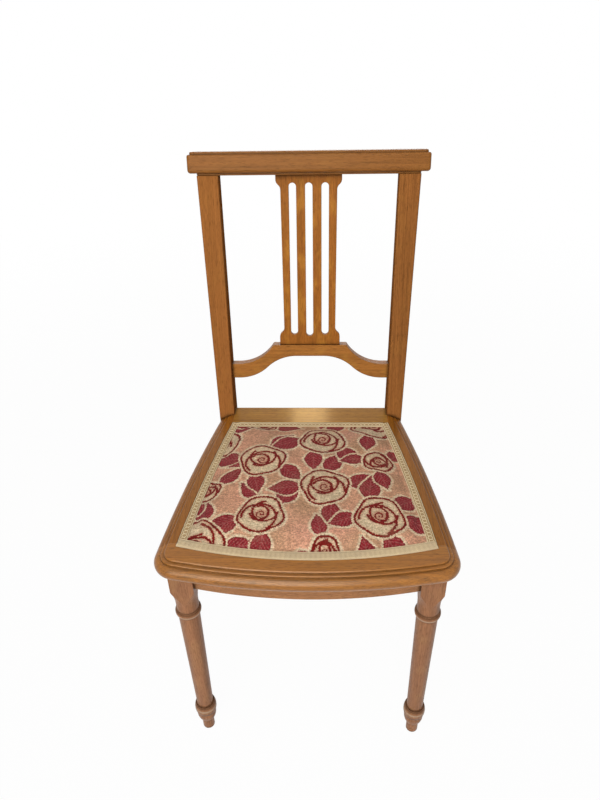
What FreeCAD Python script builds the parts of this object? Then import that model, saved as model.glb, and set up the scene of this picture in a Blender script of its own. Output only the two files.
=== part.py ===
import FreeCAD, Part
import math
import os

# Upholstered dining chair with a slatted back. Millimetres, +Z up, the front faces -Y.
# The origin lies on the floor, below the middle of the chair's box.

V = FreeCAD.Vector
UP = V(0, 0, 1)

# Fits
fit = 0.2                     # room round a tenon in its mortise
soft_gap = 0.3                # room between soft layers and what they lie beside
margin = 2.0                  # how far a cutting or joining shape runs past a face

# Seat opening, edged by the gimp, seen from above
seat_height = 455.0           # floor to the flat top of the seat frame
opening_depth = 318.0         # front to rear on the centre line
opening_front_width = 375.0
opening_rear_width = 276.0
opening_front_bow = 24.0
opening_side_bow = 4.0

# Seat frame
frame_thickness = 27.5
front_border = 37.5           # nosing to the opening, on the centre line
side_border = 29.5
rear_border = 21.0            # opening to the front faces of the posts
nosing_front_radius = 1000.0
nosing_corner_radius = 34.0
rebate_depth = 8.0
rebate_width = 24.0
rear_member_reach = 24.0      # how far the rear member reaches back between the posts
rear_edge_round = 2.0
side_joint_inset = 67.0       # nosing to the joints between front and side members
frame_tongue_length = 20.0
frame_tongue_width = 16.0
frame_tongue_thickness = 5.0
frame_tongue_drop = 6.5       # seat top to the top of a side member's tongue
rear_tongue_length = 12.0
rear_tongue_width = 25.0
rear_tongue_thickness = 8.0
rear_tongue_lift = 4.0        # underside of the frame to the rear member's tongue

# Edge moulding of the seat frame
nosing_radius = 10.5
ledge_step = 0.5
ledge_width = 5.5
ledge_drop = 3.0              # flat top to the ledge
ledge_chamfer = 0.8
flat_chamfer = 1.2
moulding_root = 4.0           # plain wood kept behind the moulding

# Front legs
leg_spacing = 364.0
leg_setback = 52.9            # nosing to the leg axis
leg_block = 35.0
foot_radius = 10.2
foot_chamfer = 2.5
foot_length = 25.0
bulb_radius = 16.0
bulb_length = 27.0
ring_radius = 18.5
ring_length = 23.0
shaft_foot_radius = 13.8
shaft_top_radius = 16.6
collar_radius = 19.9
collar_length = 12.0
bead_edge = 0.8               # small square edge beside a turned bead
neck_radius = 17.1
neck_length = 16.0
shoulder_length = 53.0
block_length = 25.5           # square block above the shoulder
leg_tenon_radius = 10.0
leg_tenon_length = 9.5

# Aprons
apron_thickness = 20.0
apron_height = 40.5
front_apron_bow = 17.0
front_apron_setback = 5.5     # face of the leg block to the apron's face at its ends
rear_apron_inset = 1.0        # rear member's back edge to the apron's back
apron_edge_chamfer = 0.8
apron_tenon_thickness = 8.0
apron_tenon_length = 13.0
side_tenon_length = 12.0
tenon_shoulder = 6.0          # step above and below a tenon
rear_tenon_inset = 2.0        # apron's back to its tenon

# Back posts
rake = 13.1                   # lean of the back, in degrees
post_width_seat = 26.5
post_width_top = 34.0
post_gap_seat = 274.4         # between the posts, at the seat
post_gap_top = 286.0
post_depth_seat = 42.0
post_depth_top = 26.0
post_bend_drop = 80.0         # seat top to where the rear leg starts to sweep back
post_front_bend = 60.0        # radius of the bend at the seat, on the face
post_back_bend = 420.0        # radius of the bend at the seat, on the back
post_side_bend = 900.0        # radius where the posts start to spread
rear_foot_sweep = 34.0
rear_foot_depth = 29.0
post_chamfer = 1.2
post_tenon = 14.0
post_tenon_length = 14.0

# Crest rail
back_length = 412.0           # seat top to the crest, along the posts
crest_length = 381.0
crest_front_reach = 6.0       # crest's face in front of the posts
crest_depth = 35.0
crest_height = 28.0
crest_bottom_round = 5.0
crest_top_round = 3.0
crest_corner_round = 4.5
bead_height = 3.5
bead_inset = 6.0
bead_chamfer = 1.2
cap_height = 4.0
cap_inset = 4.0
cap_round = 1.8

# Splat, measured along the posts from the seat top
splat_setback = 15.5          # post faces to the splat's face
splat_thickness = 9.0
splat_base_height = 14.0
splat_ear_height = 8.0
splat_ogee_height = 16.0
splat_ear_width = 107.0
splat_base_width = 104.0
splat_neck_top_width = 91.8
splat_neck_base_width = 88.4
slot_width = 12.0
slot_pitch = 26.5
slot_top_margin = 13.0        # top of the splat to the slots
slot_base_margin = 18.0       # foot of the splat to the slots
middle_slot_drop = 2.5
splat_edge_chamfer = 0.7
splat_tenon_width = 60.0
splat_tenon_thickness = 5.0
splat_tenon_length = 9.0

# Stay rail below the splat
stay_setback = 11.7           # post faces to the rail's face
stay_thickness = 21.0
stay_top = 128.0              # seat top to the platform under the splat
stay_platform_width = 131.0
stay_platform_height = 20.0
stay_ear_round = 3.5
stay_edge_chamfer = 1.0
stay_end_height = 25.5
stay_end_rise = 67.5          # seat top to the underside at the posts
stay_sweep_start = 127.0      # half width where the upper edge starts to sweep up
arch_half_width = 24.0        # half width of the flat above the arch
arch_foot = 125.0             # half width where the arch starts
stay_tenon_thickness = 8.0
stay_tenon_height = 14.0
stay_tenon_length = 12.0

# Corner blocks
corner_leg_front = 62.0
corner_leg_rear = 50.0
corner_height = 32.0

# Webbing and hessian
strap_width = 50.0
strap_thickness = 1.5
strap_count = 3
strap_pitch_across = 84.0
strap_pitch_along = 82.0
strap_end_inset = 4.0
strap_ramp = 10.0
hessian_thickness = 1.0
hessian_inset = 1.0

# Stuffed seat and gimp
cover_thickness = 2.0
gimp_thickness = 2.4
gimp_front_width = 15.0
gimp_side_width = 12.0
gimp_rear_width = 11.0
pad_gap = 0.5                 # gimp to the foot of the pad
pad_edge_run = 25.0           # how far the pad's sloping side draws in as it rises
pad_edge_rise = 20.0
crown_height = 15.5           # foot of the pad to the top of its crown
crown_radius = 1700.0

# Levels and lines that follow
frame_bottom = seat_height - frame_thickness
rebate_floor = seat_height - rebate_depth
apron_bottom = frame_bottom - apron_height
ledge_setback = nosing_radius + ledge_step
flat_setback = ledge_setback + ledge_width
moulding_depth = flat_setback + flat_chamfer + moulding_root
lean = math.radians(rake)
crest_top = back_length + bead_height + crest_height
crest_back = crest_depth - crest_front_reach
post_line = front_border + opening_depth + rear_border
back_reach = ((crest_back - crest_top_round) * math.cos(lean)
              + (crest_top - crest_top_round) * math.sin(lean) + crest_top_round)
nosing_y = -(post_line + back_reach) / 2
post_y = nosing_y + post_line
opening_front_y = nosing_y + front_border
opening_rear_y = opening_front_y + opening_depth
joint_y = nosing_y + side_joint_inset
leg_x = leg_spacing / 2
leg_y = nosing_y + leg_setback
leg_half = leg_block / 2
turned_foot = foot_length + bulb_length + ring_length
turned_head = collar_length + neck_length + shoulder_length
shaft_length = frame_bottom - block_length - turned_head - turned_foot
post_x = post_gap_seat / 2
rear_member_back = post_y + rear_member_reach
rear_member_front = opening_rear_y - rebate_width
back_place = FreeCAD.Placement(V(0, post_y, seat_height), FreeCAD.Rotation(V(1, 0, 0), -rake))


def line(a, b):
    return Part.LineSegment(a, b).toShape()


def arc(a, b, c):
    return Part.Arc(a, b, c).toShape()


def arc_about(centre, start, end):
    """Arc of less than a half turn about a centre."""
    radius = start.distanceToPoint(centre)
    middle = (start - centre) + (end - centre)
    middle.normalize()
    return arc(start, centre + middle * radius, end)


def bend(before, corner, after, radius):
    """Arc of a radius that rounds a corner, with its ends."""
    way_in = (before - corner).normalize()
    way_out = (after - corner).normalize()
    half_angle = way_in.getAngle(way_out) / 2
    reach = radius / math.tan(half_angle)
    middle = (way_in + way_out).normalize()
    crown_point = corner + middle * (radius / math.sin(half_angle) - radius)
    start = corner + way_in * reach
    end = corner + way_out * reach
    return start, arc(start, crown_point, end), end


def s_curve(start, end, along):
    """Two equal arcs from start to end that leave and arrive along one direction."""
    middle = (start + end) * 0.5
    side = (end - start) - along * (end - start).dot(along)
    shift = side.Length
    side.normalize()
    radius = (end - start).Length ** 2 / (4 * shift)
    first = arc_about(start + side * radius, start, middle)
    second = arc_about(end - side * radius, middle, end)
    return [first, second]


def bar(x, y, z, grow=0.0):
    """Box between three pairs of limits, grown on every side."""
    low = V(min(x) - grow, min(y) - grow, min(z) - grow)
    size = [max(pair) - min(pair) + 2 * grow for pair in (x, y, z)]
    return Part.makeBox(*size, low)


def prism(wire, bottom, height):
    """Upright solid over a plan outline that is drawn at z = 0."""
    face = Part.Face(wire)
    face.translate(V(0, 0, bottom))
    return face.extrude(V(0, 0, height))


def mirrored(shape):
    return shape.mirror(V(0, 0, 0), V(1, 0, 0))


def flipped(point):
    return V(-point.x, point.y, point.z)


def at_back(shape):
    """Moves a shape from the leaning frame of the back to its place."""
    shape.Placement = back_place.multiply(shape.Placement)
    return shape


def meet(centre_a, radius_a, centre_b, radius_b):
    """The meeting point of two circles that lies on the right of the way from a to b."""
    way = centre_b - centre_a
    gap = way.Length
    along = (radius_a ** 2 - radius_b ** 2 + gap ** 2) / (2 * gap)
    across = math.sqrt(radius_a ** 2 - along ** 2)
    way.normalize()
    return centre_a + way * along + V(way.y, -way.x, 0) * across


def bow_radius(half_chord, bow):
    return (half_chord ** 2 + bow ** 2) / (2 * bow)


# Circles that carry the edges of the seat
front_corner = V(opening_front_width / 2, opening_front_y + opening_front_bow, 0)
rear_corner = V(opening_rear_width / 2, opening_rear_y, 0)
opening_front_radius = bow_radius(opening_front_width / 2, opening_front_bow)
opening_front_centre = V(0, opening_front_y + opening_front_radius, 0)
side_chord = rear_corner - front_corner
side_radius = bow_radius(side_chord.Length / 2, opening_side_bow)
side_inward = V(-side_chord.y, side_chord.x, 0).normalize()
side_centre = (front_corner + rear_corner) * 0.5 + side_inward * (side_radius - opening_side_bow)
nosing_centre = V(0, nosing_y + nosing_front_radius, 0)
nosing_side_radius = side_radius + side_border
corner_centre = meet(side_centre, nosing_side_radius - nosing_corner_radius,
                     nosing_centre, nosing_front_radius - nosing_corner_radius)


def on_side(radius, y):
    """Point of a circle about the right side's centre, at a given y."""
    return V(side_centre.x + math.sqrt(radius ** 2 - (y - side_centre.y) ** 2), y, 0)


def opening(front, side, rear):
    """Outline of the seat opening, drawn in by a distance at the front, sides and rear."""
    right_rear = on_side(side_radius - side, opening_rear_y - rear)
    right_front = meet(side_centre, side_radius - side,
                       opening_front_centre, opening_front_radius - front)
    left_front = flipped(right_front)
    left_rear = flipped(right_rear)
    return Part.Wire([
        line(left_rear, right_rear),
        arc_about(side_centre, right_rear, right_front),
        arc_about(opening_front_centre, right_front, left_front),
        arc_about(flipped(side_centre), left_front, left_rear),
    ])


def tangent_points(inset):
    """Ends of the nosing's rounded corner on the right: at the side and at the front."""
    to_corner = (corner_centre - side_centre).normalize()
    at_side = side_centre + to_corner * (nosing_side_radius - inset)
    to_corner = (corner_centre - nosing_centre).normalize()
    at_front = nosing_centre + to_corner * (nosing_front_radius - inset)
    return at_side, at_front


def frame_outline(inset):
    """Outline of the seat frame up to the posts, drawn in from the nosing."""
    at_side, at_front = tangent_points(inset)
    at_rear = on_side(nosing_side_radius - inset, post_y)
    return Part.Wire([
        line(flipped(at_rear), at_rear),
        arc_about(side_centre, at_rear, at_side),
        arc_about(corner_centre, at_side, at_front),
        arc_about(nosing_centre, at_front, flipped(at_front)),
        arc_about(flipped(corner_centre), flipped(at_front), flipped(at_side)),
        arc_about(flipped(side_centre), flipped(at_side), flipped(at_rear)),
    ])


def moulding_face(radius):
    """Section of the moulded edge, set out from an upright axis."""
    def point(inset, z):
        return V(radius - inset, 0, z)

    nosing_top = frame_bottom + 2 * nosing_radius
    nosing_middle = frame_bottom + nosing_radius
    ledge = seat_height - ledge_drop
    section = [
        point(nosing_radius, nosing_top),
        point(ledge_setback, nosing_top),
        point(ledge_setback, ledge - ledge_chamfer),
        point(ledge_setback + ledge_chamfer, ledge),
        point(flat_setback, ledge),
        point(flat_setback, seat_height - flat_chamfer),
        point(flat_setback + flat_chamfer, seat_height),
        point(moulding_depth, seat_height),
        point(moulding_depth, frame_bottom),
        point(nosing_radius, frame_bottom),
    ]
    nosing = arc(section[-1], point(0, nosing_middle), section[0])
    return Part.Face(Part.Wire([nosing, Part.makePolygon(section)]))


def moulded_arc(centre, radius, start, end):
    """Moulded edge swept about one of the outline's centres, counter-clockwise."""
    first = math.degrees(math.atan2(start.y - centre.y, start.x - centre.x))
    last = math.degrees(math.atan2(end.y - centre.y, end.x - centre.x))
    face = moulding_face(radius)
    face.rotate(V(0, 0, 0), UP, first)
    solid = face.revolve(V(0, 0, 0), UP, (last - first) % 360)
    solid.translate(centre)
    return solid


def frame_blank():
    """Moulded seat frame in one piece, with its rebate and inner opening."""
    at_side, at_front = tangent_points(0)
    at_rear = on_side(nosing_side_radius, post_y)
    runs = [
        (side_centre, nosing_side_radius, at_side, at_rear),
        (corner_centre, nosing_corner_radius, at_front, at_side),
        (nosing_centre, nosing_front_radius, flipped(at_front), at_front),
        (flipped(corner_centre), nosing_corner_radius, flipped(at_side), flipped(at_front)),
        (flipped(side_centre), nosing_side_radius, flipped(at_rear), flipped(at_side)),
    ]
    edge = [moulded_arc(*run) for run in runs]
    plate = prism(frame_outline(moulding_depth - moulding_root / 2), frame_bottom, frame_thickness)
    blank = plate.multiFuse(edge).removeSplitter()
    blank = blank.cut(seat_rebate())
    inside = prism(opening(*[rebate_width] * 3), frame_bottom - margin, frame_thickness + 2 * margin)
    return blank.cut(inside)


def seat_rebate():
    return prism(opening(0, 0, 0), rebate_floor, 2 * rebate_depth)


def side_tongue(grow):
    """Tongue of the right side member, which enters the front member."""
    centre = on_side(nosing_side_radius - flat_setback - frame_tongue_width / 2, joint_y).x
    top = seat_height - frame_tongue_drop
    half = frame_tongue_width / 2
    return bar((centre - half, centre + half), (joint_y - frame_tongue_length, joint_y + margin),
               (top - frame_tongue_thickness, top), grow)


def rear_tongue(grow):
    """Tongue of the rear member, which enters the right side member."""
    middle = (rear_member_front + post_y) / 2
    half = rear_tongue_width / 2
    low = frame_bottom + rear_tongue_lift
    return bar((post_x - margin, post_x + rear_tongue_length), (middle - half, middle + half),
               (low, low + rear_tongue_thickness), grow)


def leg_tenon(grow):
    foot = V(leg_x, leg_y, frame_bottom)
    return Part.makeCylinder(leg_tenon_radius + grow, leg_tenon_length + grow, foot)


def seat_frame():
    """Front, left, right and rear members of the seat frame."""
    blank = frame_blank()
    wide = opening_front_width + 2 * nosing_corner_radius
    levels = (frame_bottom - margin, seat_height + margin)
    front = blank.common(bar((-wide, wide), (nosing_y - margin, joint_y), levels))
    tongue_seat = side_tongue(fit)
    tenon_seat = leg_tenon(fit)
    for seat in (tongue_seat, tenon_seat):
        front = front.cut(seat).cut(mirrored(seat))
    right = blank.common(bar((0, wide), (joint_y, post_y), levels))
    right = right.cut(bar((0, post_x), (rear_member_front, post_y), levels))
    right = right.fuse(side_tongue(0)).cut(rear_tongue(fit)).removeSplitter()
    rear = bar((-post_x, post_x), (rear_member_front, rear_member_back), (frame_bottom, seat_height))
    back_edges = [e for e in rear.Edges if e.BoundBox.YMin > post_y and e.BoundBox.XLength > post_x]
    rear = rear.makeFillet(rear_edge_round, back_edges)
    rear = rear.cut(seat_rebate())
    rear = rear.fuse(rear_tongue(0)).fuse(mirrored(rear_tongue(0))).removeSplitter()
    return front, mirrored(right), right, rear


def leg_profile():
    """Right half of the turned leg, as edges from the floor up to the block's top."""
    bulb_start = foot_length
    ring_start = bulb_start + bulb_length
    shaft_start = ring_start + ring_length
    collar_start = shaft_start + shaft_length
    neck_start = collar_start + collar_length
    shoulder_start = neck_start + neck_length
    shoulder_end = shoulder_start + shoulder_length
    corner = leg_half * math.sqrt(2) + margin

    def point(radius, z):
        return V(radius, 0, z)

    def bead(low_radius, radius, high_radius, start, length):
        low = point(low_radius, start)
        high = point(high_radius, start + length)
        return arc(low, point(radius, start + length / 2), high)

    ring_foot = ring_radius - 2 * bead_edge
    ring_top = ring_foot - bead_edge
    collar_foot = shaft_top_radius + bead_edge
    collar_top = neck_radius + bead_edge
    bulb_middle = point((foot_radius + 3 * bulb_radius) / 4, bulb_start + bulb_length / 3)
    edges = [
        line(point(0, 0), point(foot_radius - foot_chamfer, 0)),
        line(point(foot_radius - foot_chamfer, 0), point(foot_radius, foot_chamfer)),
        line(point(foot_radius, foot_chamfer), point(foot_radius, bulb_start)),
        arc(point(foot_radius, bulb_start), bulb_middle, point(bulb_radius, ring_start)),
        line(point(bulb_radius, ring_start), point(ring_foot, ring_start)),
        bead(ring_foot, ring_radius, ring_top, ring_start, ring_length),
        line(point(ring_top, shaft_start), point(shaft_foot_radius, shaft_start)),
        line(point(shaft_foot_radius, shaft_start), point(shaft_top_radius, collar_start)),
        line(point(shaft_top_radius, collar_start), point(collar_foot, collar_start)),
        bead(collar_foot, collar_radius, collar_top, collar_start, collar_length),
        line(point(collar_top, neck_start), point(neck_radius, neck_start)),
        line(point(neck_radius, neck_start), point(neck_radius, shoulder_start)),
    ]
    shoulder = s_curve(point(neck_radius, shoulder_start), point(corner, shoulder_end), UP)
    shoulder.append(line(point(corner, shoulder_end), point(corner, frame_bottom)))
    return edges, shoulder, shoulder_start


def turned(edges, low, high):
    """Solid turned from profile edges between two points of the axis."""
    start = edges[0].firstVertex(True).Point
    end = edges[-1].lastVertex(True).Point
    closing = [line(end, high), line(high, low)]
    if start.distanceToPoint(low) > fit:
        closing.append(line(low, start))
    face = Part.Face(Part.Wire(edges + closing))
    return face.revolve(V(0, 0, 0), UP, 360)


def front_leg():
    """Right front leg: turned shaft, square block with a turned shoulder, and a round tenon."""
    lower, shoulder, split = leg_profile()
    shaft = turned(lower, V(0, 0, 0), V(0, 0, split))
    head = turned(shoulder, V(0, 0, split), V(0, 0, frame_bottom))
    block = bar((-leg_half, leg_half), (-leg_half, leg_half), (split, frame_bottom))
    leg = shaft.fuse(head.common(block))
    leg.translate(V(leg_x, leg_y, 0))
    return leg.fuse(leg_tenon(0)).removeSplitter()


def front_apron_tenon(grow):
    inner = leg_x - leg_half
    face = leg_y - leg_half + front_apron_setback
    front = face + (apron_thickness - apron_tenon_thickness) / 2
    return bar((inner - margin, inner + apron_tenon_length), (front, front + apron_tenon_thickness),
               (apron_bottom + tenon_shoulder, frame_bottom - tenon_shoulder), grow)


def front_apron():
    """Bowed front apron between the leg blocks."""
    inner = leg_x - leg_half
    face = leg_y - leg_half + front_apron_setback
    radius = bow_radius(inner, front_apron_bow)
    centre = V(0, face - front_apron_bow + radius, 0)

    def corner(offset):
        return V(inner, centre.y - math.sqrt((radius - offset) ** 2 - inner ** 2), 0)

    outer = corner(0)
    back = corner(apron_thickness)
    plan = Part.Wire([
        arc_about(centre, flipped(outer), outer),
        line(outer, back),
        arc_about(centre, back, flipped(back)),
        line(flipped(back), flipped(outer)),
    ])
    apron = eased_level(prism(plan, apron_bottom, apron_height), apron_bottom, apron_edge_chamfer)
    return apron.multiFuse([front_apron_tenon(0), mirrored(front_apron_tenon(0))]).removeSplitter()


def side_apron_place():
    """Frame of the right side apron: its X runs from the leg to the post."""
    start = V(leg_x, leg_y + leg_half, 0)
    end = V(post_x + post_width_seat / 2, post_y, 0)
    way = end - start
    turn = math.degrees(math.atan2(way.y, way.x))
    return FreeCAD.Placement(start, FreeCAD.Rotation(UP, turn)), way.Length


def side_apron_stick(thickness, levels, overrun, grow=0.0):
    """Bar along the side apron's line that stops square to Y, past the leg and the post."""
    place, length = side_apron_place()
    half = thickness / 2
    stick = bar((-length, 2 * length), (-half, half), levels, grow)
    stick.Placement = place
    limits = (leg_y + leg_half - overrun - grow, post_y + overrun + grow)
    return stick.common(bar((0, leg_spacing), limits, (0, seat_height)))


def side_apron_tenons(grow):
    levels = (apron_bottom + tenon_shoulder, frame_bottom - tenon_shoulder)
    return side_apron_stick(apron_tenon_thickness, levels, side_tenon_length, grow)


def side_apron():
    """Right side apron, shouldered against the leg block and the post."""
    body = side_apron_stick(apron_thickness, (apron_bottom, frame_bottom), 0)
    low = [e for e in body.Edges
           if e.BoundBox.ZMax < apron_bottom + fit and e.BoundBox.YLength > leg_x]
    body = body.makeChamfer(apron_edge_chamfer, low)
    return body.fuse(side_apron_tenons(0)).removeSplitter()


def rear_apron_tenon(grow):
    back = rear_member_back - rear_apron_inset - rear_tenon_inset
    return bar((post_x - margin, post_x + apron_tenon_length), (back - apron_tenon_thickness, back),
               (apron_bottom + tenon_shoulder, frame_bottom - tenon_shoulder), grow)


def rear_apron():
    back = rear_member_back - rear_apron_inset
    body = bar((-post_x, post_x), (back - apron_thickness, back), (apron_bottom, frame_bottom))
    return body.multiFuse([rear_apron_tenon(0), mirrored(rear_apron_tenon(0))]).removeSplitter()


def post_tenon_bar(grow):
    """Tenon on top of the right post, in the frame of the back."""
    middle = (post_gap_top + post_width_top) / 2
    depth = post_depth_top / 2
    half = post_tenon / 2
    return bar((middle - half, middle + half), (depth - half, depth + half),
               (back_length - margin, back_length + post_tenon_length), grow)


def post_blank():
    """Right post: swept rear leg and leaning upright, cut from its side and front outlines."""
    knee = seat_height - post_bend_drop
    top_front = back_place.multVec(V(0, 0, back_length))
    top_back = back_place.multVec(V(0, post_depth_top, back_length))
    seat_front = V(0, post_y, seat_height)
    seat_back = V(0, post_y + post_depth_seat, seat_height)
    knee_front = V(0, post_y, knee)
    knee_back = V(0, post_y + post_depth_seat, knee)
    foot_front = V(0, post_y + rear_foot_sweep, 0)
    foot_back = foot_front + V(0, rear_foot_depth, 0)

    def sweep(upper, foot):
        run = foot.y - upper.y
        radius = (run ** 2 + upper.z ** 2) / (2 * run)
        return arc_about(upper + V(0, radius, 0), upper, foot)

    front_low, front_bend, front_high = bend(knee_front, seat_front, top_front, post_front_bend)
    back_low, back_bend, back_high = bend(knee_back, seat_back, top_back, post_back_bend)
    side = Part.Wire([
        line(top_back, top_front), line(top_front, front_high), front_bend, line(front_low, knee_front),
        sweep(knee_front, foot_front), line(foot_front, foot_back), sweep(knee_back, foot_back),
        line(knee_back, back_low), back_bend, line(back_high, top_back),
    ])
    deep = Part.Face(side).extrude(V(leg_spacing, 0, 0))
    rise = top_front.z - seat_height
    high = 2 * rise
    inner_spread = (post_gap_top - post_gap_seat) / 2 * high / rise
    outer_spread = inner_spread + (post_width_top - post_width_seat) * high / rise
    outer_x = post_x + post_width_seat
    inner_foot, inner_seat, inner_top = [V(post_x, 0, 0), V(post_x, 0, seat_height),
                                         V(post_x + inner_spread, 0, seat_height + high)]
    outer_foot, outer_seat, outer_top = [V(outer_x, 0, 0), V(outer_x, 0, seat_height),
                                         V(outer_x + outer_spread, 0, seat_height + high)]
    inner_low, inner_bend, inner_high = bend(inner_foot, inner_seat, inner_top, post_side_bend)
    outer_low, outer_bend, outer_high = bend(outer_foot, outer_seat, outer_top, post_side_bend)
    front = Part.Wire([
        line(inner_foot, outer_foot), line(outer_foot, outer_low), outer_bend, line(outer_high, outer_top),
        line(outer_top, inner_top), line(inner_top, inner_high), inner_bend, line(inner_low, inner_foot),
    ])
    broad = Part.Face(front).extrude(V(0, -4 * nosing_y, 0))
    broad.translate(V(0, nosing_y, 0))
    return deep.common(broad)


def eased(shape, size):
    """Takes off the sharp edges of an upright piece that run up its corners."""
    def climbs(edge):
        return abs(edge.tangentAt((edge.FirstParameter + edge.LastParameter) / 2).z) > 0.5

    def corner(edge):
        faces = shape.ancestorsOfType(edge, Part.Face)
        normals = [face.normalAt(*face.Surface.parameter(edge.CenterOfMass)) for face in faces]
        return abs(normals[0].dot(normals[1])) < 0.5

    return shape.makeChamfer(size, [e for e in shape.Edges if climbs(e) and corner(e)])


def eased_outline(board, normal, size, reach):
    """Takes off the edges of a board's two flat faces, short of its far ends."""
    def in_face(edge):
        across = abs(edge.tangentAt(edge.FirstParameter).dot(normal))
        return across < 0.5 and abs(edge.CenterOfMass.x) < reach - fit

    return board.makeChamfer(size, [e for e in board.Edges if in_face(e)])


def eased_level(shape, level, size):
    """Takes off the edges of a shape that lie at one height and run across the chair."""
    edges = [e for e in shape.Edges if e.BoundBox.ZLength < fit and abs(e.BoundBox.ZMin - level) < fit
             and e.BoundBox.XLength > leg_x]
    return shape.makeChamfer(size, edges)


def back_posts():
    """Left and right posts, with the mortises of the pieces that they carry."""
    post = eased(post_blank(), post_chamfer)
    post = post.fuse(at_back(post_tenon_bar(0)))
    for tenon in (side_apron_tenons(fit), rear_apron_tenon(fit), at_back(stay_tenon(fit))):
        post = post.cut(tenon)
    return mirrored(post), post


def slab(length, depth, bottom, height):
    """Slab across the back with rounded upright corners."""
    block = bar((-length / 2, length / 2), depth, (bottom, bottom + height))
    upright = [e for e in block.Edges if e.BoundBox.ZLength > height / 2]
    return block.makeFillet(crest_corner_round, upright)


def rim(block, level):
    """Edges of a slab that lie at one height."""
    return [e for e in block.Edges if e.BoundBox.ZLength < fit and abs(e.BoundBox.ZMin - level) < fit]


def crest_rail():
    """Crest rail: a bead below, the rounded bar and a thinner cap on top."""
    front = -crest_front_reach
    bead = slab(post_gap_top + 2 * post_width_top, (front + bead_inset, crest_back - bead_inset),
                back_length, bead_height + crest_bottom_round)
    bead = bead.makeChamfer(bead_chamfer, rim(bead, back_length))
    body = slab(crest_length, (front, crest_back), back_length + bead_height, crest_height)
    body = body.makeFillet(crest_bottom_round, rim(body, back_length + bead_height))
    body = body.makeFillet(crest_top_round, rim(body, crest_top))
    cap_top = crest_top + cap_height
    cap = slab(crest_length - 2 * cap_inset, (front + cap_inset, crest_back - cap_inset),
               crest_top - crest_top_round, cap_height + crest_top_round)
    cap = cap.makeFillet(cap_round, rim(cap, cap_top))
    crest = body.multiFuse([bead, cap]).removeSplitter()
    for tenon in (post_tenon_bar(fit), mirrored(post_tenon_bar(fit)), splat_top_tenon(fit)):
        crest = crest.cut(tenon)
    return at_back(crest)


def splat_levels():
    return stay_top, back_length


def splat_tenon(level, up, grow):
    half = splat_tenon_width / 2
    front = splat_setback + (splat_thickness - splat_tenon_thickness) / 2
    ends = (level - up * margin, level + up * splat_tenon_length)
    return bar((-half, half), (front, front + splat_tenon_thickness), ends, grow)


def splat_top_tenon(grow):
    return splat_tenon(back_length, 1, grow)


def splat_foot_tenon(grow):
    return splat_tenon(stay_top, -1, grow)


def slot(x, bottom, top):
    """Round-ended slot through the splat."""
    half = slot_width / 2
    low = V(x, 0, bottom + half)
    high = V(x, 0, top - half)
    aside = V(half, 0, 0)
    outline = Part.Wire([
        line(low - aside, high - aside),
        arc(high - aside, V(x, 0, top), high + aside),
        line(high + aside, low + aside),
        arc(low + aside, V(x, 0, bottom), low - aside),
    ])
    hole = Part.Face(outline).extrude(V(0, 4 * splat_thickness, 0))
    hole.translate(V(0, splat_setback - splat_thickness, 0))
    return hole


def splat():
    """Waisted splat with three slots, tenoned into the crest and the stay rail."""
    foot, top = splat_levels()
    base_end = foot + splat_base_height
    neck_start = base_end + splat_ogee_height
    ear_start = top - splat_ear_height
    neck_end = ear_start - splat_ogee_height

    def point(width, s):
        return V(width / 2, splat_setback, s)

    right = [line(point(splat_base_width, foot), point(splat_base_width, base_end))]
    right += s_curve(point(splat_base_width, base_end), point(splat_neck_base_width, neck_start), UP)
    right.append(line(point(splat_neck_base_width, neck_start), point(splat_neck_top_width, neck_end)))
    right += s_curve(point(splat_neck_top_width, neck_end), point(splat_ear_width, ear_start), UP)
    right.append(line(point(splat_ear_width, ear_start), point(splat_ear_width, top)))
    left = [mirrored(edge) for edge in right]
    closing = [line(point(splat_ear_width, top), flipped(point(splat_ear_width, top))),
               line(point(splat_base_width, foot), flipped(point(splat_base_width, foot)))]
    outline = Part.Wire(Part.__sortEdges__(right + left + closing))
    board = Part.Face(outline).extrude(V(0, splat_thickness, 0))
    slot_top = top - slot_top_margin
    slot_foot = foot + slot_base_margin
    for x in (-slot_pitch, slot_pitch):
        board = board.cut(slot(x, slot_foot, slot_top))
    board = board.cut(slot(0, slot_foot - middle_slot_drop, slot_top))
    board = eased_outline(board, V(0, 1, 0), splat_edge_chamfer, splat_ear_width)
    board = board.multiFuse([splat_top_tenon(0), splat_foot_tenon(0)]).removeSplitter()
    return at_back(board)


def stay_tenon(grow):
    """Tenon at the right end of the stay rail, in the frame of the back."""
    front = stay_setback + (stay_thickness - stay_tenon_thickness) / 2
    low = stay_end_rise + (stay_end_height - stay_tenon_height) / 2
    return bar((post_x - margin, post_x + stay_tenon_length), (front, front + stay_tenon_thickness),
               (low, low + stay_tenon_height), grow)


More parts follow.
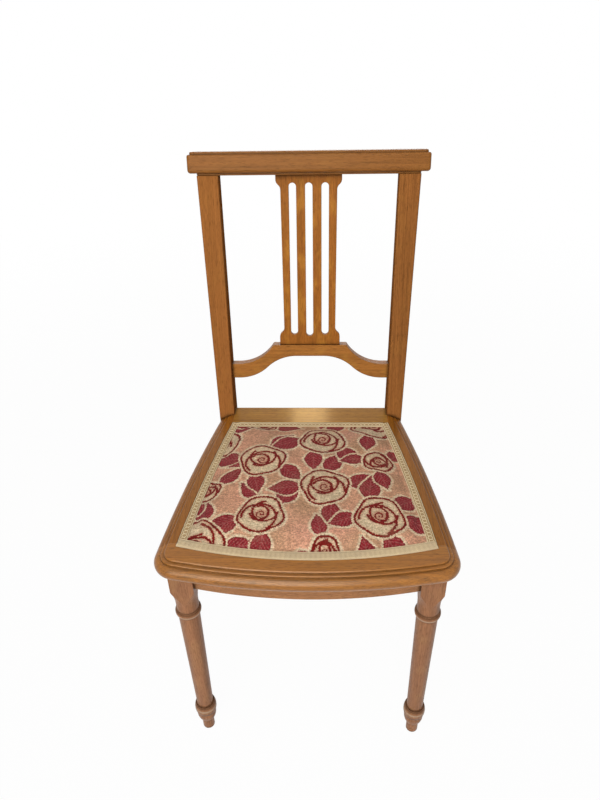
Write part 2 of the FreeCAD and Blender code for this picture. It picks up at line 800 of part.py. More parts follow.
def stay_rail(post):
    """Arched stay rail with a raised platform for the splat."""
    reach = post_x + post_width_seat / 2
    end_top = stay_end_rise + stay_end_height
    edge = stay_platform_width / 2
    arch_top = stay_top - stay_platform_height

    def point(x, s):
        return V(x, stay_setback, s)

    end_low = point(reach, stay_end_rise)
    end_high = point(reach, end_top)
    ear_centre = point(edge - stay_ear_round, stay_top - stay_ear_round)
    sweep = point(stay_sweep_start, end_top)
    run = sweep.x - ear_centre.x
    rise = ear_centre.z - sweep.z
    sweep_radius = (run ** 2 + rise ** 2 - stay_ear_round ** 2) / (2 * (rise + stay_ear_round))
    sweep_centre = sweep + UP * sweep_radius
    ear = sweep_centre + (ear_centre - sweep_centre).normalize() * sweep_radius
    ear_top = ear_centre + UP * stay_ear_round
    upper = [line(end_high, sweep), arc_about(sweep_centre, sweep, ear), arc_about(ear_centre, ear, ear_top)]
    arch_low = point(arch_foot, stay_end_rise)
    arch_high = point(arch_half_width, arch_top)
    arch = s_curve(arch_low, arch_high, V(-1, 0, 0))
    right = [line(arch_low, end_low), line(end_low, end_high), *upper, *arch]
    left = [mirrored(e) for e in right]
    closing = [line(arch_high, flipped(arch_high)), line(ear_top, flipped(ear_top))]
    outline = Part.Wire(Part.__sortEdges__(right + left + closing))
    rail = Part.Face(outline).extrude(V(0, stay_thickness, 0))
    rail = at_back(eased_outline(rail, V(0, 1, 0), stay_edge_chamfer, reach))
    rail = rail.cut(at_back(splat_foot_tenon(fit)))
    rail = rail.cut(post).cut(mirrored(post))
    tenon = at_back(stay_tenon(0))
    return rail.multiFuse([tenon, mirrored(tenon)]).removeSplitter()


def corner_block(corner, legs, neighbours):
    """Glue block that fills the corner between two aprons and an upright."""
    x_leg, y_leg = legs
    plan = Part.makePolygon([corner, corner + V(-x_leg, 0, 0), corner + V(0, y_leg, 0), corner])
    block = prism(plan, frame_bottom - corner_height, corner_height)
    for piece in neighbours:
        block = block.cut(piece)
    return max(block.Solids, key=lambda solid: solid.Volume)


def strap(ends, crossings, width, over_first):
    """Webbing strap along X, woven over and under the straps that it crosses."""
    start, end = ends
    flat = strap_width / 2 + strap_thickness
    lower = [V(start, 0, 0)]
    for number, x in enumerate(crossings):
        if (number % 2 == 0) == over_first:
            for step, rise in ((-flat - strap_ramp, 0), (-flat, 1), (flat, 1), (flat + strap_ramp, 0)):
                lower.append(V(x + step, 0, rise * strap_thickness))
    lower.append(V(end, 0, 0))
    upper = [p + V(0, 0, strap_thickness) for p in reversed(lower)]
    strip = Part.Face(Part.makePolygon(lower + upper + [lower[0]])).extrude(V(0, width, 0))
    strip.translate(V(0, -width / 2, rebate_floor))
    return strip


def spread(pitch):
    return [(number - (strap_count - 1) / 2) * pitch for number in range(strap_count)]


def webbing():
    """Straps front to back and side to side."""
    middle_y = (opening_front_y + opening_rear_y) / 2
    across = spread(strap_pitch_across)
    along = [middle_y + y for y in spread(strap_pitch_along)]
    front_to_back = []
    side_to_side = []
    for number, x in enumerate(across):
        edge = abs(x) + strap_width / 2
        front = opening_front_centre.y - math.sqrt(opening_front_radius ** 2 - edge ** 2)
        ends = (front + strap_end_inset, opening_rear_y - strap_end_inset)
        piece = strap(ends, along, strap_width, number % 2 == 0)
        piece.rotate(V(0, 0, 0), UP, 90)
        piece.translate(V(x, 0, 0))
        front_to_back.append(piece)
    for number, y in enumerate(along):
        reach = on_side(side_radius, y + strap_width / 2).x - strap_end_inset
        piece = strap((-reach, reach), across, strap_width, number % 2 == 1)
        piece.translate(V(0, y, 0))
        side_to_side.append(piece)
    return front_to_back, side_to_side


def pad(shrink, bottom, top):
    """Crowned pad: sides that slope in under a wide shallow dome."""
    wires = []
    for step, z in ((pad_gap, bottom), (pad_gap + pad_edge_run, top + pad_edge_rise - shrink)):
        inset = step + shrink
        wire = opening(gimp_front_width + inset, gimp_side_width + inset, gimp_rear_width + inset)
        wire.translate(V(0, 0, z))
        wires.append(wire)
    sides = Part.makeLoft(wires, True, True)
    middle_y = (opening_front_y + opening_rear_y) / 2
    centre = V(0, middle_y, top + crown_height - crown_radius)
    dome = Part.makeSphere(crown_radius - shrink, centre, V(1, 0, 0))
    return sides.common(dome)


def upholstery():
    """Hessian, stuffing and cover, stacked in the rebate."""
    hessian_bottom = rebate_floor + 2 * strap_thickness
    hessian_top = hessian_bottom + hessian_thickness
    cover_top = hessian_top + cover_thickness
    hessian = prism(opening(*[hessian_inset] * 3), hessian_bottom, hessian_thickness)
    flange = prism(opening(*[soft_gap] * 3), hessian_top, cover_thickness)
    dome = pad(0, cover_top - cover_thickness / 2, cover_top)
    hollow = pad(cover_thickness, hessian_top, cover_top)
    cover = flange.fuse(dome).cut(hollow)
    stuffing = pad(cover_thickness + soft_gap, hessian_top, cover_top)
    return hessian, stuffing, cover, cover_top


def gimp(bottom):
    """Braid strips round the opening: front, left, right and rear, butted at the corners."""
    wide = gimp_front_width
    edge = soft_gap

    def strip(outer, inner):
        ring = prism(opening(*outer), bottom, gimp_thickness)
        return ring.cut(prism(opening(*inner), bottom - margin, gimp_thickness + 2 * margin))

    front = strip((edge, edge, edge), (wide, -edge, -edge))
    sides = strip((wide, edge, edge), (-edge, gimp_side_width, -edge))
    rear = strip((wide, gimp_side_width, edge), (-edge, -edge, gimp_rear_width))
    left, right = sorted(sides.Solids, key=lambda solid: solid.CenterOfMass.x)
    return front, left, right, rear


def chair():
    """All pieces of the chair by name."""
    pieces = {}
    left_post, right_post = back_posts()
    leg = front_leg()
    leg_left = mirrored(leg)
    apron_front = front_apron()
    apron_right = side_apron()
    apron_left = mirrored(apron_right)
    apron_rear = rear_apron()
    frame_front, frame_left, frame_right, frame_rear = seat_frame()

    for seat in (front_apron_tenon(fit), side_apron_tenons(fit)):
        leg = leg.cut(seat)
        leg_left = leg_left.cut(mirrored(seat))

    stay = stay_rail(post_blank())

    front_inside = V(leg_x, leg_y, 0)
    rear_inside = V(post_x + post_width_seat / 2, rear_member_back - apron_thickness / 2, 0)
    front_legs = (leg_half + corner_leg_front, leg_half + corner_leg_front)
    rear_legs = (corner_leg_rear, -corner_leg_rear - apron_thickness)
    front_block = corner_block(front_inside, front_legs, (leg, apron_front, apron_right))
    rear_block = corner_block(rear_inside, rear_legs, (right_post, apron_rear, apron_right))
    front_to_back, side_to_side = webbing()
    hessian, stuffing, cover, cover_top = upholstery()
    gimp_front, gimp_left, gimp_right, gimp_rear = gimp(cover_top)

    pieces["left_back_post"] = left_post
    pieces["right_back_post"] = right_post
    pieces["crest_rail"] = crest_rail()
    pieces["back_splat"] = splat()
    pieces["stay_rail"] = stay
    pieces["left_front_leg"] = leg_left
    pieces["right_front_leg"] = leg
    pieces["front_apron"] = apron_front
    pieces["left_side_apron"] = apron_left
    pieces["right_side_apron"] = apron_right
    pieces["rear_apron"] = apron_rear
    pieces["seat_frame_front"] = frame_front
    pieces["seat_frame_left"] = frame_left
    pieces["seat_frame_right"] = frame_right
    pieces["seat_frame_rear"] = frame_rear
    pieces["corner_block_front_left"] = mirrored(front_block)
    pieces["corner_block_front_right"] = front_block
    pieces["corner_block_rear_left"] = mirrored(rear_block)
    pieces["corner_block_rear_right"] = rear_block
    pieces["webbing_front_to_back"] = Part.makeCompound(front_to_back)
    pieces["webbing_side_to_side"] = Part.makeCompound(side_to_side)
    pieces["hessian"] = hessian
    pieces["seat_stuffing"] = stuffing
    pieces["seat_cover"] = cover
    pieces["gimp_front"] = gimp_front
    pieces["gimp_left"] = gimp_left
    pieces["gimp_right"] = gimp_right
    pieces["gimp_rear"] = gimp_rear
    return pieces


def main():
    os.makedirs("parts", exist_ok=True)
    for name, shape in chair().items():
        shape.exportStep("parts/" + name + ".step")
        box = shape.BoundBox
        print(f"{name:26s} {len(shape.Solids):3d} solids  valid {shape.isValid()}"
              f"  x {box.XMin:7.1f} {box.XMax:7.1f}  y {box.YMin:7.1f} {box.YMax:7.1f}"
              f"  z {box.ZMin:7.1f} {box.ZMax:7.1f}")


main()
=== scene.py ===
import math

import bmesh
import bpy
import numpy as np
from mathutils import Matrix, Vector
from mathutils.bvhtree import BVHTree


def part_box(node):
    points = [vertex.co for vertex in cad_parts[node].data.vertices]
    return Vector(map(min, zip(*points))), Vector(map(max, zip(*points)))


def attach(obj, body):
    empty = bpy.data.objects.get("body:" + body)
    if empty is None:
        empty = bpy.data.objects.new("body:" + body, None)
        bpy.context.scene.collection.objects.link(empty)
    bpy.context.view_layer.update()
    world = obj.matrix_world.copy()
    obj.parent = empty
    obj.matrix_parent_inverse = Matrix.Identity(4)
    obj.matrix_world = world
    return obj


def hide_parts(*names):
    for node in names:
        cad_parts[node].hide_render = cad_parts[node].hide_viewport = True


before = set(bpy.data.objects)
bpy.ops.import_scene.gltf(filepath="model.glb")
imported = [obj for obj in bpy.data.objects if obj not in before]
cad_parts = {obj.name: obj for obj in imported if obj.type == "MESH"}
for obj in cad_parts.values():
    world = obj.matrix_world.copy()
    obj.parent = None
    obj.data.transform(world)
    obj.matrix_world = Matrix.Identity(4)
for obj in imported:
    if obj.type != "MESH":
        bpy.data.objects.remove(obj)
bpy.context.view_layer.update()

bl_info = {
    "name": "Upholstered Dining Chair",
    "version": (1, 0, 0),
    "blender": (4, 5, 0),
    "location": "View3D > Sidebar > Chair",
    "description": "Finishes the wood, seat, gimp, webbing and screws of a dining chair",
    "category": "Object",
}

FULL_TURN = 2 * math.pi
QUARTER = math.pi / 2
# Usual haze of the varnish
HAZE = 0.26
# Wooden pieces: the way their grain runs, their tone, how much grain, golden flame and varnish they
# show, and the haze of the varnish where it isn't the usual one
VARNISHED = {
    "crest_rail": ("across", "chestnut", 0.3, 0.2, 0.2),
    "stay_rail": ("across", "honey", 0.4, 0.5, 0.15),
    "back_splat": ("back", "amber", 0.3, 1.0, 0.1),
    "left_back_post": ("back", "brown", 0.3, 0.2, 0.0),
    "right_back_post": ("back", "brown", 0.3, 0.2, 0.0),
    "seat_frame_front": ("across", "gold", 0.9, 0.2, 0.9),
    "seat_frame_rear": ("across", "olive", 0.6, 0.3, 0.35, 0.12),
    "seat_frame_left": ("deep", "umber", 0.9, 0.2, 0.6),
    "seat_frame_right": ("deep", "umber", 0.9, 0.2, 0.5),
    # The aprons take a tone lightened to stand in for the light falling on them (painted light)
    "front_apron": ("across", "tan", 0.4, 0.2, 0.2),
    "left_side_apron": ("deep", "tan", 0.4, 0.2, 0.2),
    "right_side_apron": ("deep", "tan", 0.4, 0.2, 0.2),
    "rear_apron": ("across", "tan", 0.4, 0.2, 0.2),
    "left_front_leg": ("upright", "rose", 0.2, 0.4, 0.15),
    "right_front_leg": ("upright", "rose", 0.2, 0.4, 0.15),
}
# Glue blocks, which have no varnish
PLAIN = ["corner_block_front_left", "corner_block_front_right",
         "corner_block_rear_left", "corner_block_rear_right"]
# Lean of the back, and the turns that bring each way of the grain onto X
RAKE = math.radians(13.1)
GRAIN_TURNS = {"across": (0, 0, 0), "deep": (0, 0, -QUARTER), "upright": (0, QUARTER, 0),
               "back": (RAKE, QUARTER, 0)}
# Lines round the turned legs: their heights and reaches, where painted shade and dirt darken them and
# where painted highlights and wear lighten them
RING_SHADE_AND_DIRT = ((0.3330, 0.0046), (0.3205, 0.0022), (0.0745, 0.0050), (0.0550, 0.0036), (0.0265, 0.0030))
RING_HIGHLIGHT_AND_WEAR = ((0.3262, 0.0024), (0.0655, 0.0034))
# Straps of the webbing: size, distances across and along the seat, and the gap at their ends
STRAP_WIDTH = 0.05
STRAP_THICKNESS = 0.0014
STRAP_SPACING = (0.084, 0.082)
STRAP_GAP = 0.004


def colour(name, description, default):
    return bpy.props.FloatVectorProperty(name=name, description=description, default=default,
                                         subtype="COLOR", size=3, min=0, max=1)


def number(name, description, default, **limits):
    return bpy.props.FloatProperty(name=name, description=description, default=default, **limits)


def metres(name, description, default):
    return number(name, description, default, unit="LENGTH", subtype="DISTANCE", min=0)


def watts(name, description, default):
    return number(name, description, default, unit="POWER", min=0)


def degrees(name, description, default):
    return number(name, description, math.radians(default), subtype="ANGLE")


class ChairWood(bpy.types.PropertyGroup):
    """Tones of the wood"""
    gold: colour("Gold", "Front of the seat frame", (0.336, 0.125, 0.017))
    umber: colour("Umber", "Sides of the seat frame", (0.290, 0.104, 0.012))
    amber: colour("Amber", "Splat", (0.36, 0.128, 0.022))
    honey: colour("Honey", "Stay rail", (0.365, 0.145, 0.031))
    brown: colour("Brown", "Posts", (0.32, 0.124, 0.033))
    chestnut: colour("Chestnut", "Crest rail", (0.285, 0.110, 0.024))
    olive: colour("Olive", "Rear member of the seat frame", (0.315, 0.140, 0.016))
    rose: colour("Rose", "Turned front legs", (0.355, 0.164, 0.080))
    # Painted light: the aprons' wood tone lightened to look lit from the front and below
    tan: colour("Tan", "Aprons", (0.40, 0.185, 0.078))
    plain: colour("Plain", "Unvarnished glue blocks", (0.46, 0.27, 0.13))
    # Painted highlight, partly wear: pale lines on the bulges of the turned legs
    ring_highlight_and_wear: colour("Wear", "Pale lines round the turned legs", (0.52, 0.37, 0.25))
    fibre: metres("Fibre", "Width of one streak of the grain", 0.0017)
    # This radius also sets the width of the painted highlight along the edges
    worn_edge: metres("Worn edge", "Radius over which sharp edges are worn", 0.0011)


class ChairSeat(bpy.types.PropertyGroup):
    """Stuffed seat and its woven cover"""
    front_width: metres("Front width", "Opening of the seat frame at its front corners", 0.375)
    rear_width: metres("Rear width", "Opening of the seat frame at the rear", 0.276)
    front_bow: metres("Front bow", "Bow of the opening's front edge", 0.024)
    side_bow: metres("Side bow", "Bow of the opening's sides", 0.004)
    crown: metres("Crown", "Rise of the seat above its rim", 0.0155)
    crown_radius: metres("Crown radius", "Radius of the seat's dome", 1.7)
    swell: metres("Swell", "How far the stuffing may push the cover out", 0.004)
    thread: metres("Thread", "Distance between the threads of the cover", 0.00116)
    ground: colour("Ground", "Ground of the cover", (0.82, 0.445, 0.28))
    halo: colour("Halo", "Pale rim round the flowers and leaves", (0.98, 0.74, 0.50))
    bloom: colour("Bloom", "Petals", (0.88, 0.69, 0.455))
    blush: colour("Blush", "Pink edge of the petals", (0.70, 0.31, 0.20))
    line: colour("Line", "Drawn lines of the flowers", (0.25, 0.012, 0.010))
    leaf: colour("Leaf", "Leaves", (0.335, 0.026, 0.036))
    vein: colour("Vein", "Veins of the leaves", (0.52, 0.17, 0.15))


class ChairBraid(bpy.types.PropertyGroup):
    """Gimp round the cover"""
    front_width: metres("Front width", "Width of the plain tape at the front", 0.0152)
    side_width: metres("Side width", "Width of the braid at the sides", 0.0124)
    rear_width: metres("Rear width", "Width of the braid at the rear", 0.0114)
    thickness: metres("Thickness", "Thickness of the tape", 0.0013)
    cord: metres("Cord", "Radius of the cord along each edge", 0.0006)
    pitch: metres("Pitch", "Distance between the loops of the braid", 0.0066)
    straw: colour("Straw", "Thread of the gimp", (0.91, 0.74, 0.48))
    # Painted shade: darker colour for the ground between the loops and for the grooves and hollows of
    # the gimp
    shade: colour("Shade", "Ground between the loops", (0.47, 0.31, 0.15))


class ChairStage(bpy.types.PropertyGroup):
    """Floor, light and camera"""
    floor: colour("Floor", "Floor under the chair", (0.72, 0.72, 0.72))
    warm: colour("Warm", "Small light high behind the chair", (1.0, 0.70, 0.32))
    sky: number("Sky", "Even light from all round", 0.12, min=0)
    key: watts("Key", "Soft light above the front", 52.0)
    fill: watts("Fill", "Soft light low on the right", 2.5)
    back: watts("Back", "Small light high behind the chair", 7.0)
    rear: watts("Rear", "Soft light low behind the chair", 10.0)
    top: watts("Top", "Soft light above the seat", 15.0)
    lens: number("Lens", "Focal length in millimetres", 30.376, min=1)
    eye: bpy.props.FloatVectorProperty(
        name="Eye", description="Place of the camera", default=(0.02617, -0.85198, 1.18133),
        subtype="XYZ", unit="LENGTH", size=3)
    yaw: degrees("Yaw", "Turn of the camera about the upright", -2.575947)
    pitch: degrees("Pitch", "How far the camera looks down", 35.341466)
    roll: degrees("Roll", "Tilt of the picture", 1.419498)


def maths(operation, swapped=False):
    """An operator of Value that adds one maths node."""
    def operate(self, other=0.0):
        first, second = (other, self) if swapped else (self, other)
        return self.tree.node("ShaderNodeMath", {0: first, 1: second}, operation=operation)
    return operate


class Value:
    """A number, colour, vector or geometry on its way through a tree of nodes."""
    __add__, __radd__ = maths("ADD"), maths("ADD", swapped=True)
    __sub__, __rsub__ = maths("SUBTRACT"), maths("SUBTRACT", swapped=True)
    __mul__, __rmul__ = maths("MULTIPLY"), maths("MULTIPLY", swapped=True)
    sine = maths("SINE")
    power = maths("POWER")
    size = maths("ABSOLUTE")

    def __init__(self, tree, socket):
        self.tree = tree
        self.socket = socket

    def wave(self):
        """Sine between 0 and 1."""
        return self.sine() * 0.5 + 0.5

    def clipped(self):
        return self.tree.node("Clamp", {"Value": self})


class Tree:
    """A node tree whose nodes are added from expressions."""

    def __init__(self, nodes):
        self.nodes = nodes
        self.family = nodes.bl_idname.removesuffix("Tree")

    def node(self, kind, sockets=None, out=0, **settings):
        """Adds a node of a type, its settings first, then its sockets' values or links."""
        made = self.nodes.nodes.new(kind if "Node" in kind else self.family + kind)
        for key, value in settings.items():
            if key == "stops":
                self.set_stops(made.color_ramp.elements, value)
            else:
                setattr(made, key, value)
        for key, value in (sockets or {}).items():
            for item in value if isinstance(value, list) else [value]:
                if isinstance(item, Value):
                    self.nodes.links.new(item.socket, made.inputs[key])
                else:
                    made.inputs[key].default_value = item
        return Value(self, made.outputs[out]) if made.outputs else None

    @staticmethod
    def set_stops(elements, stops):
        while len(elements) < len(stops):
            elements.new(1.0)
        for element, (position, tone) in zip(elements, stops):
            element.position = position
            element.color = tone

    def tones(self, level, tone, steps):
        """Shades of a tone along a level, given as positions and factors."""
        stops = [(position, (*tuned(tone, factor), 1.0)) for position, factor in steps]
        return self.node("ValToRGB", {"Fac": level}, stops=stops)

    def mix(self, factor, first, second, blend="MIX"):
        """Mix of two colours."""
        first, second = [(*tone, 1.0) if isinstance(tone, tuple) else tone for tone in (first, second)]
        return self.node("Mix", {0: factor, 6: first, 7: second}, out=2,
                         data_type="RGBA", blend_type=blend)

    def times(self, tone, factors):
        """Colour multiplied by another."""
        return self.mix(1.0, tone, factors, "MULTIPLY")

    def stretched(self, vector, scale):
        return self.node("VectorMath", {0: vector, 1: scale}, operation="MULTIPLY")

    def noise(self, vector, scale, detail=2.0):
        """Noise at one scale, or at a scale for each axis."""
        if isinstance(scale, tuple):
            vector, scale = self.stretched(vector, scale), 1.0
        return self.node("TexNoise", {"Vector": vector, "Scale": scale, "Detail": detail})

    def ramp(self, value, low, high):
        """Rises from 0 to 1 between two levels."""
        return self.node("MapRange", {"Value": value, "From Min": low, "From Max": high},
                         interpolation_type="SMOOTHSTEP")

    def bump(self, strength, distance, height, **more):
        return self.node("Bump", {"Strength": strength, "Distance": distance, "Height": height, **more})

    def openness(self, distance):
        """How open the surroundings of a point are."""
        return self.node("AmbientOcclusion", {"Distance": distance}, out="AO", samples=6)

    def axes(self, vector):
        split = self.node("SeparateXYZ", {0: vector})
        return [Value(self, output) for output in split.socket.node.outputs]

    def white_rays(self):
        """1 for rays that see plain white all round, 0 for the light that falls on the chair."""
        seen, mirrored, through = [self.node("LightPath", out=name) for name in
                                   ("Is Camera Ray", "Is Glossy Ray", "Is Transmission Ray")]
        return (seen + mirrored + through).clipped()


def new_finish(name):
    """Empty material, the tree of its nodes, and the place of a point on the object."""
    material = bpy.data.materials.new(name)
    material.use_nodes = True
    material.node_tree.nodes.clear()
    tree = Tree(material.node_tree)
    return material, tree, tree.node("TexCoord", out="Object")


def shade(material, tree, sockets):
    """Ends a material in one surface shader."""
    tree.node("OutputMaterial", {"Surface": tree.node("BsdfPrincipled", sockets)})
    return material


def tuned(tone, factor):
    """Tone made darker or lighter."""
    return tuple(min(1.0, channel * factor) for channel in tone)


def wood_finish(name, wood, tone, along, seed, figure, flame, varnish, haze=HAZE):
    """Varnished wood: streaks, pores and growth lines along the grain, edges lightened by wear and
    painted highlight, and painted shade in corners.
    """
    material, tree, place = new_finish(name)
    grain = tree.node("Mapping", {"Vector": place, "Rotation": GRAIN_TURNS[along],
                                  "Location": (seed * 1.37, seed * 0.71, seed * 0.43)})

    def streaks(lengthwise, crosswise, detail):
        return tree.noise(grain, (lengthwise, crosswise, crosswise), detail)

    across = 1.0 / wood.fibre
    drift = streaks(2.0, 8.0, 2.0)
    broad = streaks(1.3, 0.09 * across, 3.0)
    streak = streaks(3.2, 0.46 * across, 4.0)
    fibre = streaks(11.0, 1.9 * across, 2.0)
    pore = tree.ramp(streaks(95.0, 2.6 * across, 1.0), 0.57, 0.66)
    blaze = tree.ramp(streaks(26.0, 48.0, 2.0), 0.48, 0.7)
    rings = tree.node("TexWave", {"Vector": tree.stretched(grain, (5.0, 36.0, 36.0)), "Scale": 1.0,
                                  "Distortion": 3.0, "Detail": 2.0, "Detail Scale": 0.5},
                      out="Fac", wave_type="BANDS", bands_direction="Y")
    worn = tree.node("Bevel", {"Radius": wood.worn_edge}, samples=4)
    facing = tree.node("NewGeometry", out="Normal")
    bend = tree.node("VectorMath", {0: worn, 1: facing}, out="Value", operation="DOT_PRODUCT")
    edge = tree.ramp(1.0 - bend, 0.02, 0.16)
    # Mask of painted shade: where the surroundings are closed in, in corners and crevices
    corner = tree.ramp(tree.openness(0.007), 0.95, 0.55)

    level = (broad * 0.7 + streak * 0.8 + rings * 0.15 + fibre * 1.2 - 0.925).clipped()
    toned = tree.tones(level, tone, ((0.12, 0.78 - 0.26 * figure), (0.42, 0.94), (0.62, 1.07),
                                     (0.92, 1.2 + 0.26 * figure)))
    tinted = tree.mix(drift * 0.5, toned, tree.times(toned, (1.0, 0.88, 0.8)))
    flamed = tree.mix(blaze * (0.6 * flame), tinted, (tone[0] * 1.4, tone[1] * 1.65, tone[2] * 1.4))
    pored = tree.mix(pore * (0.45 + 0.3 * figure), flamed, tuned(tone, 0.36))
    # Painted shade darkens the wood in corners and crevices
    with_painted_light = tree.mix(corner * 0.85, pored, tuned(tone, 0.14))
    if along == "upright":
        up = tree.axes(place)[2]
        # Painted shade and dirt darken the grooves round the turned legs, and painted highlights and
        # wear lighten the bulges of their beads
        for lines, line_tone in ((RING_SHADE_AND_DIRT, tuned(tone, 0.24)), (RING_HIGHLIGHT_AND_WEAR, tuple(wood.ring_highlight_and_wear))):
            for height, reach in lines:
                near = tree.ramp((up - height).size(), reach, reach * 0.2)
                with_painted_light = tree.mix(near * 0.7, with_painted_light, line_tone)
    # Edges lightened, partly by wear and partly by a painted highlight along them
    rubbed_and_highlit = tree.mix(edge * 0.5, with_painted_light, tuned(tone, 1.75))
    return shade(material, tree, {
        "Base Color": rubbed_and_highlit,
        "Roughness": 0.31 + broad * 0.12 + pore * 0.12 - edge * 0.05,
        "Normal": tree.bump(0.16, 0.0006, streak * 0.3 + fibre * 0.5 - pore * 0.7, Normal=worn),
        "Coat Weight": varnish and 0.35 * varnish - corner * (0.3 * varnish),
        "Coat Roughness": haze,
        "IOR": 1.46,
        "Specular IOR Level": 0.6 * varnish,
        "Specular Tint": (1.0, 0.84, 0.62, 1.0),
    })


def plain_wood_finish(name, tone):
    """Sawn wood without varnish."""
    material, tree, place = new_finish(name)
    grain = tree.node("Mapping", {"Vector": place, "Rotation": (0, 0, math.pi / 4)})
    broad = tree.noise(grain, (8.0, 50.0, 50.0), 3.0)
    fibre = tree.noise(grain, (60.0, 900.0, 900.0))
    fleck = tree.ramp(tree.noise(grain, (420.0, 1500.0, 1500.0), 1.0), 0.60, 0.68)
    saw = (tree.axes(place)[2] * 2400.0 + broad * 6.0).sine()
    toned = tree.tones(broad * 0.6 + fibre * 0.4, tone, ((0.3, 0.72), (0.75, 1.15)))
    flecked = tree.mix(fleck * 0.5, toned, tuned(tone, 0.6))
    relief = tree.bump(0.35, 0.0004, fibre + saw * 0.25)
    return shade(material, tree, {"Base Color": flecked, "Roughness": 0.62 + broad * 0.2,
                                  "Normal": relief})


def cover_finish(seat):
    """Woven cover: the drawn flowers, thread by thread, with the weave's relief."""
    material, tree, place = new_finish("woven_cover")
    drawn = tree.node("Attribute", out="Color", attribute_name="motif")
    x, y, _ = tree.axes(place)
    turn = FULL_TURN / seat.thread
    wobble = tree.noise(place, 90.0)
    weft = (y * turn + wobble * 2.5).sine()
    warp = (x * turn * 0.5 + wobble * 2.5).sine()
    slub = tree.noise(place, (260.0, 420.0, 400.0))
    soil = tree.noise(place, 22.0, 3.0)
    worn = tree.mix(tree.ramp(soil, 0.5, 0.8) * 0.22, drawn, (0.42, 0.29, 0.19))
    lit = tree.mix(tree.ramp(slub, 0.3, 0.7), tree.times(worn, (0.64, 0.60, 0.56)), worn)
    threads = tree.mix((weft * 0.5 + 0.5) * 0.28, lit, tree.times(lit, (0.6, 0.55, 0.52)))
    relief = tree.bump(0.55, 0.0005, weft * 0.5 + warp * 0.35 + slub * 0.8)
    return shade(material, tree, {
        "Base Color": threads, "Roughness": 0.86 + slub * 0.1, "Normal": relief,
        "Sheen Weight": 0.05, "Sheen Roughness": 0.6, "Specular IOR Level": 0.1})


def braid_finish(name, straw, shadow, rib):
    """Straw-coloured gimp with fine ribs across its length, with painted shade in the grooves between
    the ribs and in the hollows.
    """
    material, tree, place = new_finish(name)
    along = tree.node("Attribute", out="Fac", attribute_name="along")
    patch = tree.noise(place, 60.0, 3.0)
    thread = tree.noise(place, 1400.0)
    ribs = (along * (FULL_TURN / rib) + patch * 2.0).wave()
    # Mask of painted shade in the hollows of the braid
    deep = tree.ramp(tree.openness(0.0022), 0.8, 0.3)
    ground = tree.mix(patch, tuned(straw, 0.80), tuned(straw, 1.14))
    # Painted shade in the grooves between the ribs, with thread-to-thread variation
    groove_shaded = tree.mix((1.0 - ribs) * 0.24 + thread * 0.18, ground, shadow)
    hollow_shaded = tree.mix(deep * 0.8, groove_shaded, shadow)
    relief = tree.bump(0.5, 0.0004, ribs + thread * 0.7)
    return shade(material, tree, {
        "Base Color": hollow_shaded, "Roughness": 0.82 + thread * 0.12, "Normal": relief,
        "Sheen Weight": 0.15, "Specular IOR Level": 0.25})


def webbing_finish():
    """Jute webbing in a herringbone weave, with two dark lines near its edges."""
    chevron, thread, cord = 0.0125, 0.0022, 0.0016
    line_place = 0.0185
    material, tree, place = new_finish("jute_webbing")
    along, across, _ = tree.axes(tree.node("UVMap", uv_map="strap"))
    hair = tree.noise(place, 900.0, 3.0)
    patch = tree.noise(place, 45.0)
    lean = (across * (FULL_TURN / chevron)).sine() * 0.0035
    twill = ((along + lean) * (FULL_TURN / thread)).wave()
    cords = (across * (FULL_TURN / cord)).wave()
    off_line = ((across - STRAP_WIDTH / 2).size() - line_place).size()
    line = 1.0 - tree.ramp(off_line, 0.0008, 0.0013)
    jute = tree.mix(twill * 0.5 + hair * 0.4, (0.19, 0.105, 0.045), (0.44, 0.29, 0.145))
    toned = tree.mix(patch * 0.4, jute, (0.30, 0.19, 0.09))
    lined = tree.mix(line * 0.75, toned, (0.10, 0.045, 0.03))
    relief = tree.bump(0.7, 0.0006, twill + cords * 0.5 + hair * 0.5)
    return shade(material, tree, {"Base Color": lined, "Roughness": 0.9, "Normal": relief,
                                  "Specular IOR Level": 0.2})


def hessian_finish():
    """Coarse open sacking with thick and thin threads, and painted shade in the gaps between them."""
    thread = 0.0019
    material, tree, place = new_finish("hessian_cloth")
    x, y, _ = tree.axes(place)
    wobble = tree.noise(place, 70.0)
    hair = tree.noise(place, 1200.0)
    warp, weft = [(way * (FULL_TURN / thread) + wobble * 3.0).wave() for way in (x, y)]
    gap = ((1.0 - warp) * (1.0 - weft)).power(2.0)
    jute = tree.mix(hair * 0.7 + wobble * 0.3, (0.24, 0.145, 0.065), (0.50, 0.35, 0.19))
    # Painted shade: the gaps between the threads are darkened as if seen through to shade
    gap_shaded_weave = tree.mix(gap * 0.85, jute, (0.05, 0.03, 0.016))
    relief = tree.bump(0.7, 0.0006, warp + weft + hair * 0.4)
    return shade(material, tree, {"Base Color": gap_shaded_weave, "Roughness": 0.92, "Normal": relief,
                                  "Specular IOR Level": 0.2})


def steel_finish():
    """Dull old steel of the screws."""
    material, tree, place = new_finish("screw_steel")
    scratch = tree.noise(place, 1500.0, 3.0)
    rust = tree.ramp(tree.noise(place, 420.0, 4.0), 0.5, 0.68)
    tone = tree.mix(rust * 0.6, (0.36, 0.34, 0.31), (0.13, 0.055, 0.025))
    relief = tree.bump(0.3, 0.0002, scratch + rust)
    return shade(material, tree, {
        "Base Color": tone, "Metallic": 0.95 - rust * 0.7,
        "Roughness": 0.36 + rust * 0.4 + scratch * 0.1, "Normal": relief})


